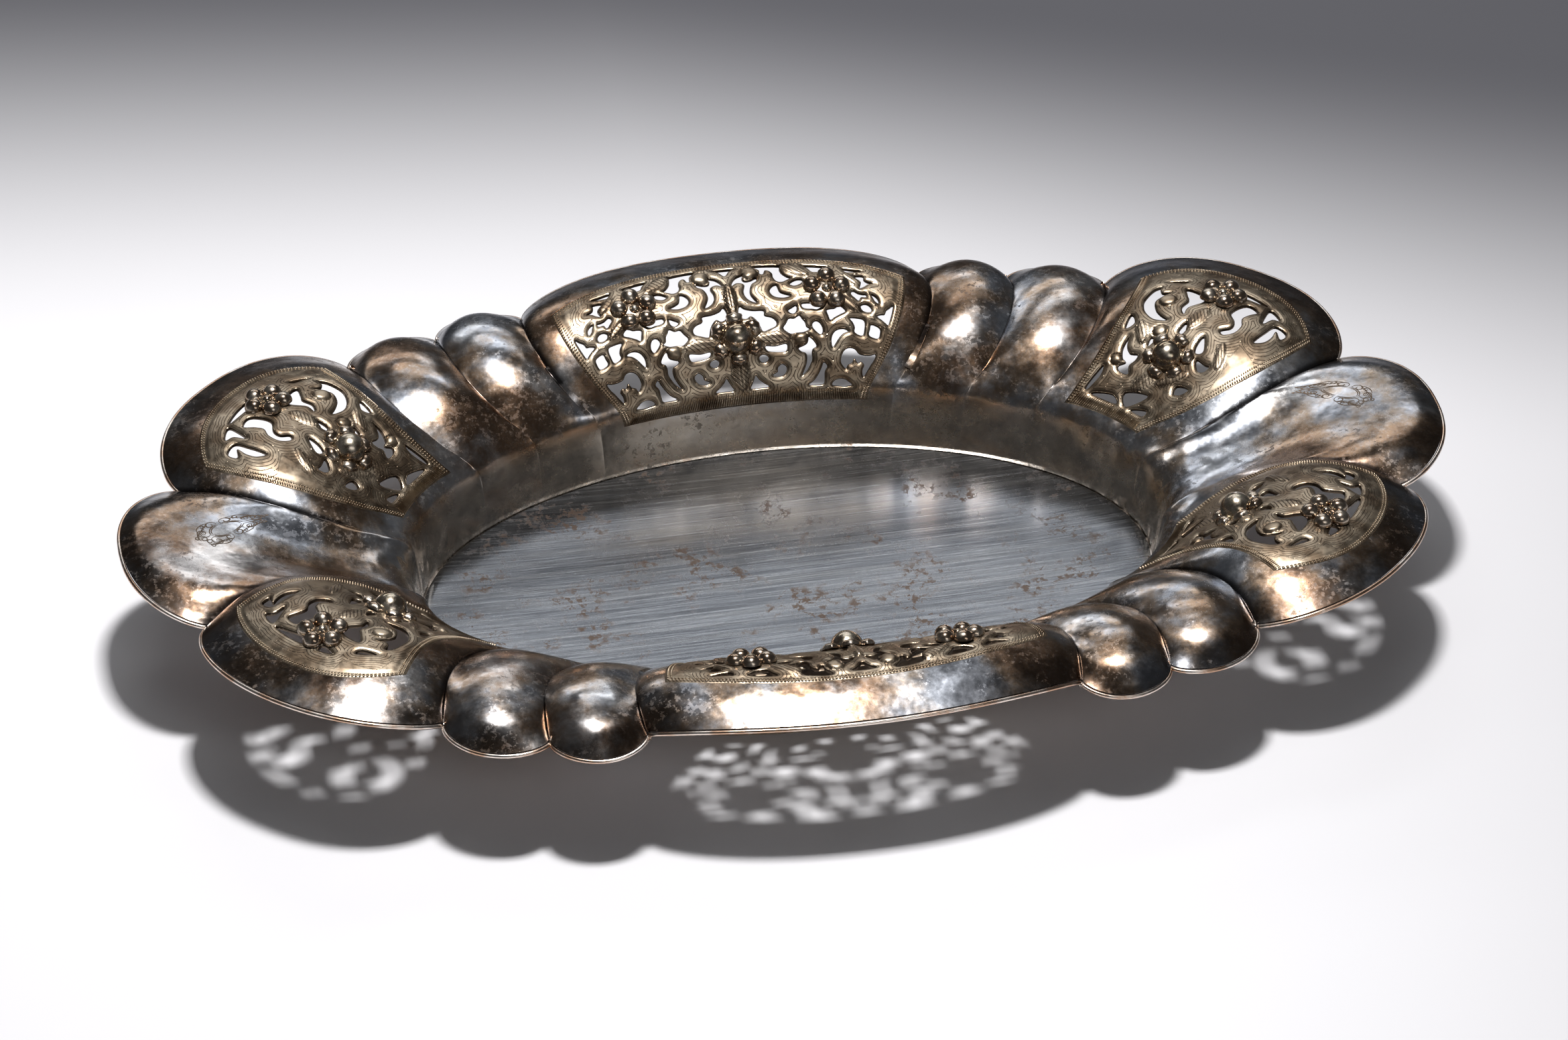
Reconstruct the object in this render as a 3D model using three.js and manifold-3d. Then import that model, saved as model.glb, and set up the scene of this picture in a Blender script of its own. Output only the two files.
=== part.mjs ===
// Pierced oval silver dish: a raised, lobed shell with six openwork panels set in its sides,
// a flat floor plate, a rim wire and applied flower heads. Millimetres, +Z up.
// Origin: middle of the underside. X is the long axis of the oval.
import * as THREE from 'three';
import { mergeVertices } from 'three/addons/utils/BufferGeometryUtils.js';
import Module from 'manifold-3d';

const wasm = await Module();
wasm.setup();

// Driving dimensions
const SHEET = 1.0; // thickness of the silver sheet
const GAP = 0.3; // clearance between pieces that touch
const ROSE_LIFT = 0.7; // a rose is flat below and stands this far off the curve of its panel
const WELL_A = 93.7; // half length of the flat floor, at the crease
const WELL_B = 58.0; // half width of the flat floor, at the crease
const FLOOR_TOP = 1.0; // height of the floor inside the dish
const NOTCH_HEIGHT = 28.75; // rise from the floor to the rim at the notches
const BOW = 6.6; // how far a crease swings towards the end of the dish on its way down
const WIRE_RADIUS = 0.55; // rim wire
const WIRE_SIDES = 4;

// Rim notches of one quarter, from the middle of the long side round to the end:
// place at the rim, small rise or fall there, and angle where the crease dies into the wall
const NOTCHES = {
  side: { x: 53.1, y: 89.0, dz: 0.0, foot: 66.5 },
  first: { x: 76.0, y: 85.3, dz: -1.4, foot: 54.3 },
  second: { x: 99.8, y: 75.1, dz: -0.2, foot: 41.0 },
  end: { x: 149.8, y: 28.2, dz: 1.4, foot: 11.7 },
};

// Stations up the wall, from the floor crease (0) to the rim edge (1), and for each of them
// how far out (share of the reach from floor to rim) and how far up (mm above the floor)
const STATIONS = [0, 0.05, 0.12, 0.22, 0.34, 0.46, 0.58, 0.7, 0.81, 0.91, 1];
const PROFILES = {
  crease: {
    out: [0, 0.01, 0.022, 0.045, 0.13, 0.22, 0.335, 0.48, 0.61, 0.8, 1],
    up: [0, 5.1, 12, 17.8, 21.4, 23.6, 26.6, 29.4, 31.2, 32, NOTCH_HEIGHT],
  },
  side: {
    out: [0, 0.012, 0.024, 0.045, 0.15, 0.215, 0.32, 0.467, 0.67, 0.84, 1],
    up: [0, 5.1, 12, 18.4, 23.7, 27.2, 31.5, 35.7, 38.8, 37.6, 34.5],
  },
  gadroon: {
    out: [0, 0.012, 0.026, 0.06, 0.15, 0.27, 0.41, 0.56, 0.73, 0.9, 1],
    up: [0, 5.1, 12, 18.2, 23.6, 28.6, 32, 33.8, 34.2, 32, 27.3],
  },
  corner: {
    out: [0, 0.012, 0.026, 0.06, 0.145, 0.215, 0.322, 0.469, 0.64, 0.845, 1],
    up: [0, 5.1, 12, 17.8, 22.6, 26.4, 31.4, 37, 39.6, 37.9, 34.4],
  },
  end: {
    out: [0, 0.012, 0.03, 0.08, 0.19, 0.32, 0.46, 0.61, 0.78, 0.92, 1],
    up: [0, 5.1, 12, 17.6, 21.4, 25.2, 29.2, 32.9, 35.8, 36.4, 34.4],
  },
};

// Each kind of lobe: bulge of its edge beyond the line between its notches, how full the
// edge and the cross-section are, and how the mesh is divided across it
const KINDS = {
  side: { bulge: 12.6, edge: [2.1, 0.72], section: [3.6, 0.62], columns: 8 },
  gadroon: { bulge: 7.8, edge: [2.0, 0.62], section: [2.0, 0.8], columns: 6 },
  corner: { bulge: 19.6, edge: [2.2, 0.62], section: [3.0, 0.62], columns: 6 },
  end: { bulge: 17.6, edge: [2.3, 0.6], section: [2.6, 0.62], columns: 8 },
};

// Windows for the openwork, as shares across (-1 to 1) and up (0 to 1) their lobe.
// On a corner lobe across runs from the gadroons (-1) to the end of the dish (1).
// cut says how far the window's top comes down at its two sides.
const WINDOWS = {
  side: { bottom: 0.16, top: 0.89, low: [-0.83, 0.83], high: [-0.88, 0.88], cut: [0, 0] },
  corner: { bottom: 0.27, top: 0.94, low: [-0.72, 0.48], high: [-0.78, 0.93], cut: [0.16, 0.01] },
};
// Rows of the wall's mesh above its foot, and the two of them that follow a window's edges
const SHELL_ROWS = [0.12, 0.22, 0.3, 0.42, 0.56, 0.72, 0.88, 0.95, 1];
const SILL_ROW = 0.22;
const HEAD_ROW = 0.88;
const MARGIN_SHARE = 0.45; // extra column of the mesh between a notch and a window
const PANEL_STEPS = 6; // divisions along each of a panel's four edges
const OPENING_POINTS = 5; // least number of points round an opening
const POINTS_PER_KNOT = 0.75; // points round a longer opening, for each one that draws it
const ARC_STEPS = 60; // steps that measure a panel's height along the sheet
const TOP_STEPS = 12; // steps that find where a drawing's row meets the window's top
const PROBE = 0.002; // step in u and v that gives the sheet's normal
const SAME_POINT = 1e-5; // points closer than this are one
const SHARPEST_TURN = 0.4; // least cosine that spreads the wire's mitre at a notch

// The sixteen lobes, clockwise seen from above, from the middle of the back.
// hand is -1 on the two corner lobes that are mirror images of the other two.
const LOBES = [
  ['back', 'side', 'side', -1, 1, 'side', 1, 1, 1],
  ['back_right_1', 'gadroon', 'side', 1, 1, 'first', 1, 1, 1],
  ['back_right_2', 'gadroon', 'first', 1, 1, 'second', 1, 1, 1],
  ['back_right', 'corner', 'second', 1, 1, 'end', 1, 1, 1],
  ['right', 'end', 'end', 1, 1, 'end', 1, -1, 1],
  ['front_right', 'corner', 'end', 1, -1, 'second', 1, -1, -1],
  ['front_right_2', 'gadroon', 'second', 1, -1, 'first', 1, -1, 1],
  ['front_right_1', 'gadroon', 'first', 1, -1, 'side', 1, -1, 1],
  ['front', 'side', 'side', 1, -1, 'side', -1, -1, 1],
  ['front_left_1', 'gadroon', 'side', -1, -1, 'first', -1, -1, 1],
  ['front_left_2', 'gadroon', 'first', -1, -1, 'second', -1, -1, 1],
  ['front_left', 'corner', 'second', -1, -1, 'end', -1, -1, 1],
  ['left', 'end', 'end', -1, -1, 'end', -1, 1, 1],
  ['back_left', 'corner', 'end', -1, 1, 'second', -1, 1, -1],
  ['back_left_2', 'gadroon', 'second', -1, 1, 'first', -1, 1, 1],
  ['back_left_1', 'gadroon', 'first', -1, 1, 'side', -1, 1, 1],
].map(([name, kind, from, fx, fy, to, tx, ty, hand]) => {
  return { name, kind, hand, start: notch(from, fx, fy), finish: notch(to, tx, ty) };
});

// The openwork is drawn flat and then laid over its lobe: mm across (x) and mm up (y).
// left and right are the sides of the drawing at height y, and rise is how far its rows
// climb towards each side.
const FOOT_STRIP = 2.0; // height of the drawing's zero line above the panel's lower edge
const RISE_POWER = 3.5; // how late the climb begins on the way to a side
const DRAWINGS = {
  side: {
    left: (y) => -31.7 - 0.46 * y + 0.0024 * y * y,
    right: (y) => 31.7 + 0.46 * y - 0.0024 * y * y,
    rise: [-4.8, -4.8],
  },
  corner: { left: (y) => -11.5 - 0.004 * y * y, right: (y) => 12.5 + 0.36 * y, rise: [4.0, 1.0] },
};

// Openings of a long panel, each a closed curve through its points: the one on the panel's
// axis, then those of its right half, which the left half mirrors
const SIDE_AXIS_OPENINGS = [
  [[-2.6, 39], [2.6, 39], [1.2, 37.6], [0, 35.8], [-1.2, 37.6]],
];
const SIDE_OPENINGS = [
  [[4.7, 36.2], [3, 34.9], [1.9, 33], [1.9, 31.5], [3.4, 32.5], [5.6, 32.5], [4.6, 30.6],
    [4.8, 28.3], [6, 26.7], [7.6, 25.8], [6.4, 27.4], [6, 29.2], [6.4, 31], [7.6, 32.4], [8.4, 33.8],
    [6.6, 33.6], [5.2, 33.6], [4.8, 34.8]],
  [[9.6, 38.8], [15.8, 39], [15.3, 37.5], [15.5, 35.8], [16.6, 34.6], [18, 34], [16.8, 32.7],
    [15, 32.4], [14, 32.6], [13.3, 34], [13.6, 35.6], [12.6, 37], [11, 37.5], [10.8, 36.2],
    [10, 35.6], [10, 37.4]],
  [[11.7, 30], [12.5, 31.3], [14.1, 31.3], [13.8, 29.8], [14, 28.5], [16, 28], [18.4, 28.6],
    [19, 28.2], [17, 27], [14, 27.1], [12.3, 28.2]],
  [[17.3, 31.4], [18.2, 32.5], [19.5, 32.6], [20.8, 33.3], [21.2, 32.4], [20, 31.2], [18.4, 30.8]],
  [[22.7, 38.9], [28.8, 38.9], [27.5, 37.4], [26.4, 36], [24.6, 36.4], [23.7, 36], [23.6, 37.6]],
  [[31.4, 39.1], [33.6, 39.1], [32.2, 37.6]],
  [[37, 38.9], [35.6, 38.2], [34, 37], [32.9, 35.4], [32.6, 33.6], [33.6, 33], [33.6, 35],
    [34.4, 36.4], [35.8, 36.9], [37.2, 37.8]],
  [[40.6, 35.2], [39.8, 36.7], [38.4, 37.2], [37.2, 36.8], [36.8, 35.2], [38.5, 35.8], [39.8, 34.8]],
  [[35, 30.6], [33.8, 31.4], [32.6, 30.6], [31.4, 29], [33, 28.6], [34.8, 28.2], [35.4, 29]],
  [[38.4, 30.4], [38.2, 31.8], [36.8, 31.6], [36.3, 30]],
  [[36, 27], [36.6, 28.2], [37.8, 28], [38.2, 26.9], [37.2, 26], [36.4, 25.6]],
  [[39.5, 26], [40.4, 26.6], [41.3, 29.2], [41.9, 32], [40.9, 30.6], [40, 28.8]],
  [[20.3, 25.2], [22, 25.8], [24.4, 26.2], [24.6, 25], [23.6, 23.5], [22, 24], [20.4, 24.2]],
  [[26.2, 23.6], [28.5, 24.6], [30.2, 25.8], [31.6, 25], [29, 23], [26.8, 21], [26.5, 22.2]],
  [[15.2, 22.8], [16.4, 22], [17.6, 22.8], [18.2, 23.8], [18.9, 25], [17.4, 24.2], [15.8, 23.6]],
  [[2.2, 25.4], [4.6, 24], [8.4, 23.3], [8.8, 21.6], [10.8, 21.1], [11.6, 19.6], [10, 18.6],
    [7.6, 18.6], [7.2, 20.2], [5.8, 21.9], [4, 21.6], [2, 21.2], [1.4, 22.4], [2, 23.6]],
  [[13.6, 19], [14.8, 20.6], [16.6, 21], [18.2, 21.9], [19.4, 20.4], [19.9, 19], [18.6, 17.6],
    [16.4, 17], [14.6, 17.2]],
  [[21.4, 18.4], [21.6, 19.6], [22.8, 20.3], [24, 19.6], [24.3, 18], [23.6, 16.7], [22.4, 17.6]],
  [[19.8, 15.9], [20.9, 15.2], [21.9, 13.9], [20.8, 13], [20.2, 11.4], [19.9, 9.6], [18.8, 7.4],
    [16.8, 5.4], [15.2, 5], [17, 6.6], [18, 8.6], [18.6, 11], [17.6, 12], [17, 12.6], [17, 13.5],
    [18.6, 13.3], [19.6, 14.2]],
  [[4.8, 6.6], [7, 6.8], [9, 7.8], [10.6, 9], [12, 9], [12.4, 7.6], [11, 6], [8.8, 5], [6.4, 5.4]],
  [[4.1, 10.8], [4.8, 12], [6.4, 12.1], [7.4, 11], [6.8, 9.8], [5.2, 9.4]],
  [[6.6, 13.4], [8.6, 14.3], [11, 13.9], [13.2, 14], [12.6, 12], [11.2, 10.9], [9.6, 11.4],
    [8.6, 12.7]],
  [[1.8, 2.5], [2.4, 4.6], [3.2, 6.2], [4.8, 4.4], [6.8, 2.5]],
  [[17.8, 2.6], [19.8, 4.2], [21.4, 6.4], [22.8, 8.6], [23.4, 8], [22.8, 6], [22.6, 4.2], [22, 2.8]],
  [[24.5, 2.7], [25.6, 4.2], [27.4, 5.2], [29.3, 4], [27, 3.2]],
  [[28.4, 8.2], [27.8, 10.4], [28.6, 12.6], [30.8, 14.5], [32.6, 13.8], [34.2, 14], [35.2, 14.4],
    [34.6, 12.4], [33.8, 10.2], [33, 11.9], [32.2, 11.6], [31.4, 12.2], [30.2, 10.4], [29.2, 9.2]],
  [[31.8, 7.4], [31.8, 8.6], [32.4, 9.4], [33, 8.6], [32.4, 6.8]],
  [[26, 13.4], [26, 15.5], [26.6, 17.3], [28.4, 18.8], [31, 19.4], [29.8, 18.2], [28, 16.5],
    [27, 14.5]],
  [[36, 19.6], [37.4, 19.5], [38.4, 22.6], [37.6, 23.2], [36.8, 22.8]],
  [[32, 22.5], [34, 23.2], [35.8, 23.3], [35.2, 20.6], [34.2, 18.4], [33.2, 18.3], [31.8, 18.9],
    [32.8, 20.2], [32.8, 21.8]],
];
// Openings of a corner panel, x towards the end of the dish
const CORNER_OPENINGS = [
  [[-13, 40.5], [-12.75, 36.8], [-12, 33.8], [-10.2, 31.2], [-8, 29.6], [-5.5, 29], [-2.5, 30],
    [-5.2, 30.8], [-7.6, 32.2], [-9.4, 35], [-9, 38], [-8, 40], [-10, 39.2], [-11.4, 40.4],
    [-12, 42.2]],
  [[-5.5, 43.3], [-1, 42.8], [1.5, 40.3], [-0.5, 36.3], [0, 33.8], [-2, 35.8], [-2, 38.8],
    [-3.5, 40.5]],
  [[-12, 45.3], [-8, 47.5], [-8, 45.8]],
  [[-3, 50], [0.75, 50.6], [0.75, 48.6]],
  [[6, 50.8], [16, 50.6], [8, 48.6]],
  [[10.3, 40.8], [11.5, 46.3], [15.5, 46.3], [14.5, 43.3], [14, 40.8], [15.5, 38.8], [15.5, 35.8],
    [13.5, 33.3], [12, 34], [13.75, 36.3], [13.3, 38.5]],
  [[17.5, 50.2], [21.8, 49.8], [20, 47.8], [19.3, 44.3], [18, 47]],
  [[26, 48.6], [26, 45.8], [23.5, 46], [24, 43.3], [23.5, 40.3], [21.5, 37.8], [21.8, 42.8],
    [22.4, 47]],
  [[-12, 28], [-9.5, 25.8], [-10.6, 23.3]],
  [[-8, 21.3], [-7, 18.8], [-5, 17], [-2.8, 17.5], [-2.5, 15.8], [-3, 13.8], [-1.8, 11.5],
    [-4, 11.3], [-5.5, 12.5], [-4.3, 14.3], [-6, 15.3], [-7.5, 17.8]],
  [[9.5, 29.8], [12, 26.8], [12, 25.3], [10.5, 24.8], [9.5, 26.8]],
  [[12.3, 23.3], [15, 23.3], [16.5, 23.8], [16, 21.8], [14.5, 21], [13, 22]],
  [[2.5, 31.3], [3.8, 29.8], [3.8, 27.8], [2.5, 28.3]],
  [[-2.8, 23.3], [-1.5, 23], [-2, 20.8]],
  [[12.2, 14.4], [15.4, 15.6], [14.6, 13.3], [12.8, 12.3]],
  [[-9, 10.8], [-8, 8.3], [-8.6, 3.4], [-9.4, 4.4]],
  [[-7, 2.6], [-2, 4.4], [0.5, 2.4]],
  [[0.8, 6.3], [7, 8.3], [3.6, 2.8]],
  [[5.4, 2.6], [9.5, 4.4], [9.4, 2.6]],
];

// Flower heads: place on the drawing, and whether it is a five-petal blossom or the larger rose
const SIDE_FLOWERS = [
  { name: 'blossom_left', x: -26.7, y: 31, rose: false },
  { name: 'blossom_right', x: 26.7, y: 31, rose: false },
  { name: 'rose', x: 0, y: 16.6, rose: true },
];
const CORNER_FLOWERS = [
  { name: 'blossom', x: 4, y: 45.3, rose: false },
  { name: 'rose', x: 5, y: 20.3, rose: true },
];
const PETAL_SIDES = 6;
const BLOSSOM = {
  petals: 5,
  petalRadius: 2.3,
  petalHeight: 2.6,
  ring: 4.3,
  eye: 2.6,
  eyeHeight: 2.3,
  eyeSides: 5,
  eyeRings: 1,
  turn: 18,
};
const ROSE = {
  petals: 6,
  petalRadius: 1.9,
  petalHeight: 2.3,
  ring: 5.0,
  eye: 4.0,
  eyeHeight: 5.0,
  eyeSides: 10,
  eyeRings: 2,
  turn: 30,
};

// Rim point of a crease, angle of its foot, and how it swings sideways on its way down
function notch(name, sx, sy) {
  const { x, y, dz, foot } = NOTCHES[name];
  const t = THREE.MathUtils.degToRad(foot);
  const reach = new THREE.Vector2(x - WELL_A * Math.cos(t), y - WELL_B * Math.sin(t)).normalize();
  const swing = new THREE.Vector2(sx * BOW * reach.y, -sy * BOW * reach.x);
  const angle = Math.atan2(sy * Math.sin(t), sx * Math.cos(t));
  return { x: sx * x, y: sy * y, dz, foot: angle, swing };
}

// Smooth curve through a profile's stations
function follow(values, v) {
  const last = STATIONS.length - 1;
  let i = 0;
  while (i < last - 1 && v >= STATIONS[i + 1]) i += 1;
  const slope = (k) => {
    const a = Math.max(k - 1, 0);
    const b = Math.min(k + 1, last);
    return (values[b] - values[a]) / (STATIONS[b] - STATIONS[a]);
  };
  const h = STATIONS[i + 1] - STATIONS[i];
  const t = (v - STATIONS[i]) / h;
  const rise = values[i + 1] - values[i];
  const ease = t * t * (3 - 2 * t);
  return values[i] + ease * rise + t * (1 - t) * ((1 - t) * slope(i) - t * slope(i + 1)) * h;
}

function fullness(u, [power, root]) {
  return Math.max(1 - Math.abs(u) ** power, 0) ** root;
}

// Point of the upper face of the sheet: u across the lobe (-1 to 1), v up the wall (0 to 1)
function surface(lobe, u, v) {
  const { start, finish } = lobe;
  const kind = KINDS[lobe.kind];
  const s = (u + 1) / 2;
  let sweep = finish.foot - start.foot;
  if (sweep > 0) sweep -= 2 * Math.PI;
  const angle = start.foot + sweep * s;
  const foot = new THREE.Vector2(WELL_A * Math.cos(angle), WELL_B * Math.sin(angle));
  const chord = new THREE.Vector2(finish.x - start.x, finish.y - start.y);
  const outward = new THREE.Vector2(-chord.y, chord.x).normalize();
  const edge = new THREE.Vector2(start.x, start.y).addScaledVector(chord, s);
  edge.addScaledVector(outward, kind.bulge * fullness(u, kind.edge));
  const w = fullness(u, kind.section);
  const profile = PROFILES[lobe.kind];
  const valley = PROFILES.crease;
  const out = THREE.MathUtils.lerp(follow(valley.out, v), follow(profile.out, v), w);
  const up = THREE.MathUtils.lerp(follow(valley.up, v), follow(profile.up, v), w);
  const drop = THREE.MathUtils.lerp(start.dz, finish.dz, s) * (1 - w) * v * v;
  const swing = start.swing.clone().lerp(finish.swing, s).multiplyScalar(4 * out * (1 - out));
  foot.lerp(edge, out).add(swing);
  return new THREE.Vector3(foot.x, foot.y, FLOOR_TOP + up + drop);
}

function surfaceNormal(lobe, u, v) {
  const across = surface(lobe, u + PROBE, v).sub(surface(lobe, u - PROBE, v));
  const along = surface(lobe, u, v + PROBE).sub(surface(lobe, u, v - PROBE));
  return across.cross(along).normalize();
}

// Side edge of a window at height v: k is 0 for its first side, 1 for its last
function windowSide(lobe, k, v) {
  const { bottom, top, low, high } = WINDOWS[lobe.kind];
  const t = THREE.MathUtils.clamp((v - bottom) / (top - bottom), 0, 1);
  const pick = lobe.hand > 0 ? k : 1 - k;
  return lobe.hand * THREE.MathUtils.lerp(low[pick], high[pick], t);
}

// Upper edge of a window; share runs from -1 to 1 across its drawing
function windowTop(lobe, share) {
  const { top, cut } = WINDOWS[lobe.kind];
  return top - cut[share < 0 ? 0 : 1] * share * share;
}

// Point between the sides of a window, share -1 to 1 along the wall
function acrossWindow(lobe, share, v) {
  return THREE.MathUtils.lerp(windowSide(lobe, 0, v), windowSide(lobe, 1, v), (share + 1) / 2);
}

// Height on the wall of a mesh row: near a window the rows follow its edges
function rowHeight(lobe, share, row) {
  const { bottom } = WINDOWS[lobe.kind];
  const top = windowTop(lobe, share * lobe.hand);
  if (row <= SILL_ROW) return (row * bottom) / SILL_ROW;
  if (row >= HEAD_ROW) return THREE.MathUtils.mapLinear(row, HEAD_ROW, 1, top, 1);
  return THREE.MathUtils.mapLinear(row, SILL_ROW, HEAD_ROW, bottom, top);
}

// Columns of the wall's mesh across one lobe, each a function of the row that gives its point
function lobeColumns(lobe) {
  const n = KINDS[lobe.kind].columns;
  if (!WINDOWS[lobe.kind]) {
    return Array.from({ length: n }, (_, i) => (row) => {
      return surface(lobe, Math.sin(Math.PI * (i / n - 0.5)), row);
    });
  }
  const margin = (side) => (row) => {
    const v = THREE.MathUtils.lerp(row, rowHeight(lobe, side, row), MARGIN_SHARE);
    return surface(lobe, THREE.MathUtils.lerp(side, acrossWindow(lobe, side, v), MARGIN_SHARE), v);
  };
  const inside = (share) => (row) => {
    const v = rowHeight(lobe, share, row);
    return surface(lobe, acrossWindow(lobe, share, v), v);
  };
  const middle = Array.from({ length: n + 1 }, (_, i) => inside((2 * i) / n - 1));
  return [(row) => surface(lobe, -1, row), margin(-1), ...middle, margin(1)];
}

function inWindow(lobe, column, row) {
  if (!WINDOWS[lobe.kind]) return false;
  const n = KINDS[lobe.kind].columns;
  return SHELL_ROWS[row] >= SILL_ROW && SHELL_ROWS[row] < HEAD_ROW && column >= 2 && column < 2 + n;
}

// Lower face of the wall: one thickness below its upper points, along their averaged normals
function lowerFace(grid) {
  const count = grid[0].length;
  const normals = grid.map((row) => row.map(() => new THREE.Vector3()));
  for (let j = 0; j < grid.length - 1; j += 1) {
    for (let i = 0; i < count; i += 1) {
      const k = (i + 1) % count;
      const across = grid[j + 1][k].clone().sub(grid[j][i]);
      const along = grid[j + 1][i].clone().sub(grid[j][k]);
      const n = across.cross(along).normalize();
      [[j, i], [j, k], [j + 1, i], [j + 1, k]].forEach(([a, b]) => normals[a][b].add(n));
    }
  }
  return grid.map((row, j) => row.map((p, i) => {
    const q = p.clone().addScaledVector(normals[j][i].normalize(), -SHEET);
    return q.setZ(Math.max(q.z, 0));
  }));
}

// Closed ring of sheet from its grid of upper points: keep(i, j) says which cells are metal
function sheetRing(grid, keep) {
  const count = grid[0].length;
  const lower = lowerFace(grid);
  const cells = [];
  for (let j = 0; j < grid.length - 1; j += 1) {
    for (let i = 0; i < count; i += 1) {
      if (keep(i, j)) cells.push([i, j]);
    }
  }
  const positions = [];
  const index = (i, j, under) => 2 * (j * count + i) + under;
  grid.forEach((row, j) => row.forEach((p, i) => positions.push(...p, ...lower[j][i])));
  const solid = new Set(cells.map(([i, j]) => `${i} ${j}`));
  const has = (i, j) => solid.has(`${(i + count) % count} ${j}`);
  const triangles = [];
  const quad = (a, b, c, d) => triangles.push(a, b, c, a, c, d);
  cells.forEach(([i, j]) => {
    const k = (i + 1) % count;
    quad(index(i, j, 0), index(k, j, 0), index(k, j + 1, 0), index(i, j + 1, 0));
    quad(index(i, j, 1), index(i, j + 1, 1), index(k, j + 1, 1), index(k, j, 1));
    if (!has(i, j - 1)) quad(index(i, j, 1), index(k, j, 1), index(k, j, 0), index(i, j, 0));
    if (!has(i, j + 1)) {
      quad(index(i, j + 1, 0), index(k, j + 1, 0), index(k, j + 1, 1), index(i, j + 1, 1));
    }
    if (!has(i - 1, j)) quad(index(i, j, 1), index(i, j, 0), index(i, j + 1, 0), index(i, j + 1, 1));
    if (!has(i + 1, j)) quad(index(k, j, 0), index(k, j, 1), index(k, j + 1, 1), index(k, j + 1, 0));
  });
  return closedGeometry(positions, triangles);
}

// Geometry with only the vertices that its triangles use, facing out
function closedGeometry(positions, triangles) {
  const flat = new THREE.BufferGeometry();
  flat.setAttribute('position', new THREE.Float32BufferAttribute(positions, 3));
  flat.setIndex(triangles);
  const geometry = mergeVertices(flat.toNonIndexed(), SAME_POINT);
  const p = geometry.attributes.position;
  const tri = geometry.index.array;
  const corner = (k) => new THREE.Vector3().fromBufferAttribute(p, tri[k]);
  let volume = 0;
  for (let k = 0; k < tri.length; k += 3) {
    volume += corner(k).dot(corner(k + 1).cross(corner(k + 2)));
  }
  if (volume < 0) {
    for (let k = 0; k < tri.length; k += 3) [tri[k], tri[k + 1]] = [tri[k + 1], tri[k]];
  }
  return geometry;
}

function toManifold(geometry) {
  const bare = geometry.clone();
  bare.deleteAttribute('normal');
  bare.deleteAttribute('uv');
  const merged = mergeVertices(bare, SAME_POINT);
  return new wasm.Manifold(new wasm.Mesh({
    numProp: 3,
    vertProperties: new Float32Array(merged.attributes.position.array),
    triVerts: new Uint32Array(merged.index.array),
  }));
}

function fromManifold(solid) {
  const mesh = solid.getMesh();
  const geometry = new THREE.BufferGeometry();
  geometry.setAttribute('position', new THREE.Float32BufferAttribute(mesh.vertProperties, 3));
  geometry.setIndex(Array.from(mesh.triVerts));
  return geometry;
}

function silver(color, roughness) {
  return new THREE.MeshStandardMaterial({ color, roughness, metalness: 1 });
}

function named(name, geometry, material) {
  const mesh = new THREE.Mesh(geometry, material);
  mesh.name = name;
  return mesh;
}

// Upper points of the wall, row by row; its foot goes down round the floor plate
const WALL_COLUMNS = LOBES.flatMap((lobe) => {
  return lobeColumns(lobe).map((at, place) => ({ lobe, at, place }));
});
const WALL = [
  WALL_COLUMNS.map(({ at }) => at(0).setZ(0)),
  ...SHELL_ROWS.map((row) => WALL_COLUMNS.map(({ at }) => at(row))),
];

// Raised wall with its sixteen lobes and six windows
function rimShell() {
  const keep = (i, j) => j === 0 || !inWindow(WALL_COLUMNS[i].lobe, WALL_COLUMNS[i].place, j - 1);
  return named('rim_shell', sheetRing(WALL, keep), silver(0xb5a58f, 0.32));
}

function floorPlate() {
  const outline = new THREE.Shape();
  outline.absellipse(0, 0, WELL_A - GAP, WELL_B - GAP, 0, 2 * Math.PI);
  const settings = { depth: FLOOR_TOP, bevelEnabled: false, curveSegments: 32 };
  return named('floor_plate', new THREE.ExtrudeGeometry(outline, settings), silver(0x8e9197, 0.38));
}

// Wire round the scalloped rim, against the cut edge of the sheet
function edgeWire() {
  const upper = WALL[WALL.length - 1];
  const under = lowerFace(WALL)[WALL.length - 1];
  const count = upper.length;
  const positions = [];
  upper.forEach((p, i) => {
    const before = p.clone().sub(upper[(i + count - 1) % count]).setZ(0).normalize();
    const after = upper[(i + 1) % count].clone().sub(p).setZ(0).normalize();
    const out = new THREE.Vector3(-before.y - after.y, before.x + after.x, 0).normalize();
    const facing = Math.max(out.dot(new THREE.Vector3(-after.y, after.x, 0)), SHARPEST_TURN);
    const normal = p.clone().sub(under[i]).normalize();
    out.addScaledVector(normal, -out.dot(normal)).normalize();
    const centre = p.clone().add(under[i]).multiplyScalar(0.5);
    centre.addScaledVector(out, (WIRE_RADIUS + GAP) / facing);
    for (let k = 0; k < WIRE_SIDES; k += 1) {
      const a = (2 * Math.PI * k) / WIRE_SIDES;
      const q = centre.clone().addScaledVector(out, WIRE_RADIUS * Math.cos(a));
      positions.push(...q.addScaledVector(normal, WIRE_RADIUS * Math.sin(a)));
    }
  });
  const triangles = [];
  for (let i = 0; i < count; i += 1) {
    const n = (i + 1) % count;
    for (let k = 0; k < WIRE_SIDES; k += 1) {
      const m = (k + 1) % WIRE_SIDES;
      triangles.push(i * WIRE_SIDES + k, n * WIRE_SIDES + k, n * WIRE_SIDES + m);
      triangles.push(i * WIRE_SIDES + k, n * WIRE_SIDES + m, i * WIRE_SIDES + m);
    }
  }
  return named('edge_wire', closedGeometry(positions, triangles), silver(0xc9a98c, 0.25));
}

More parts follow.
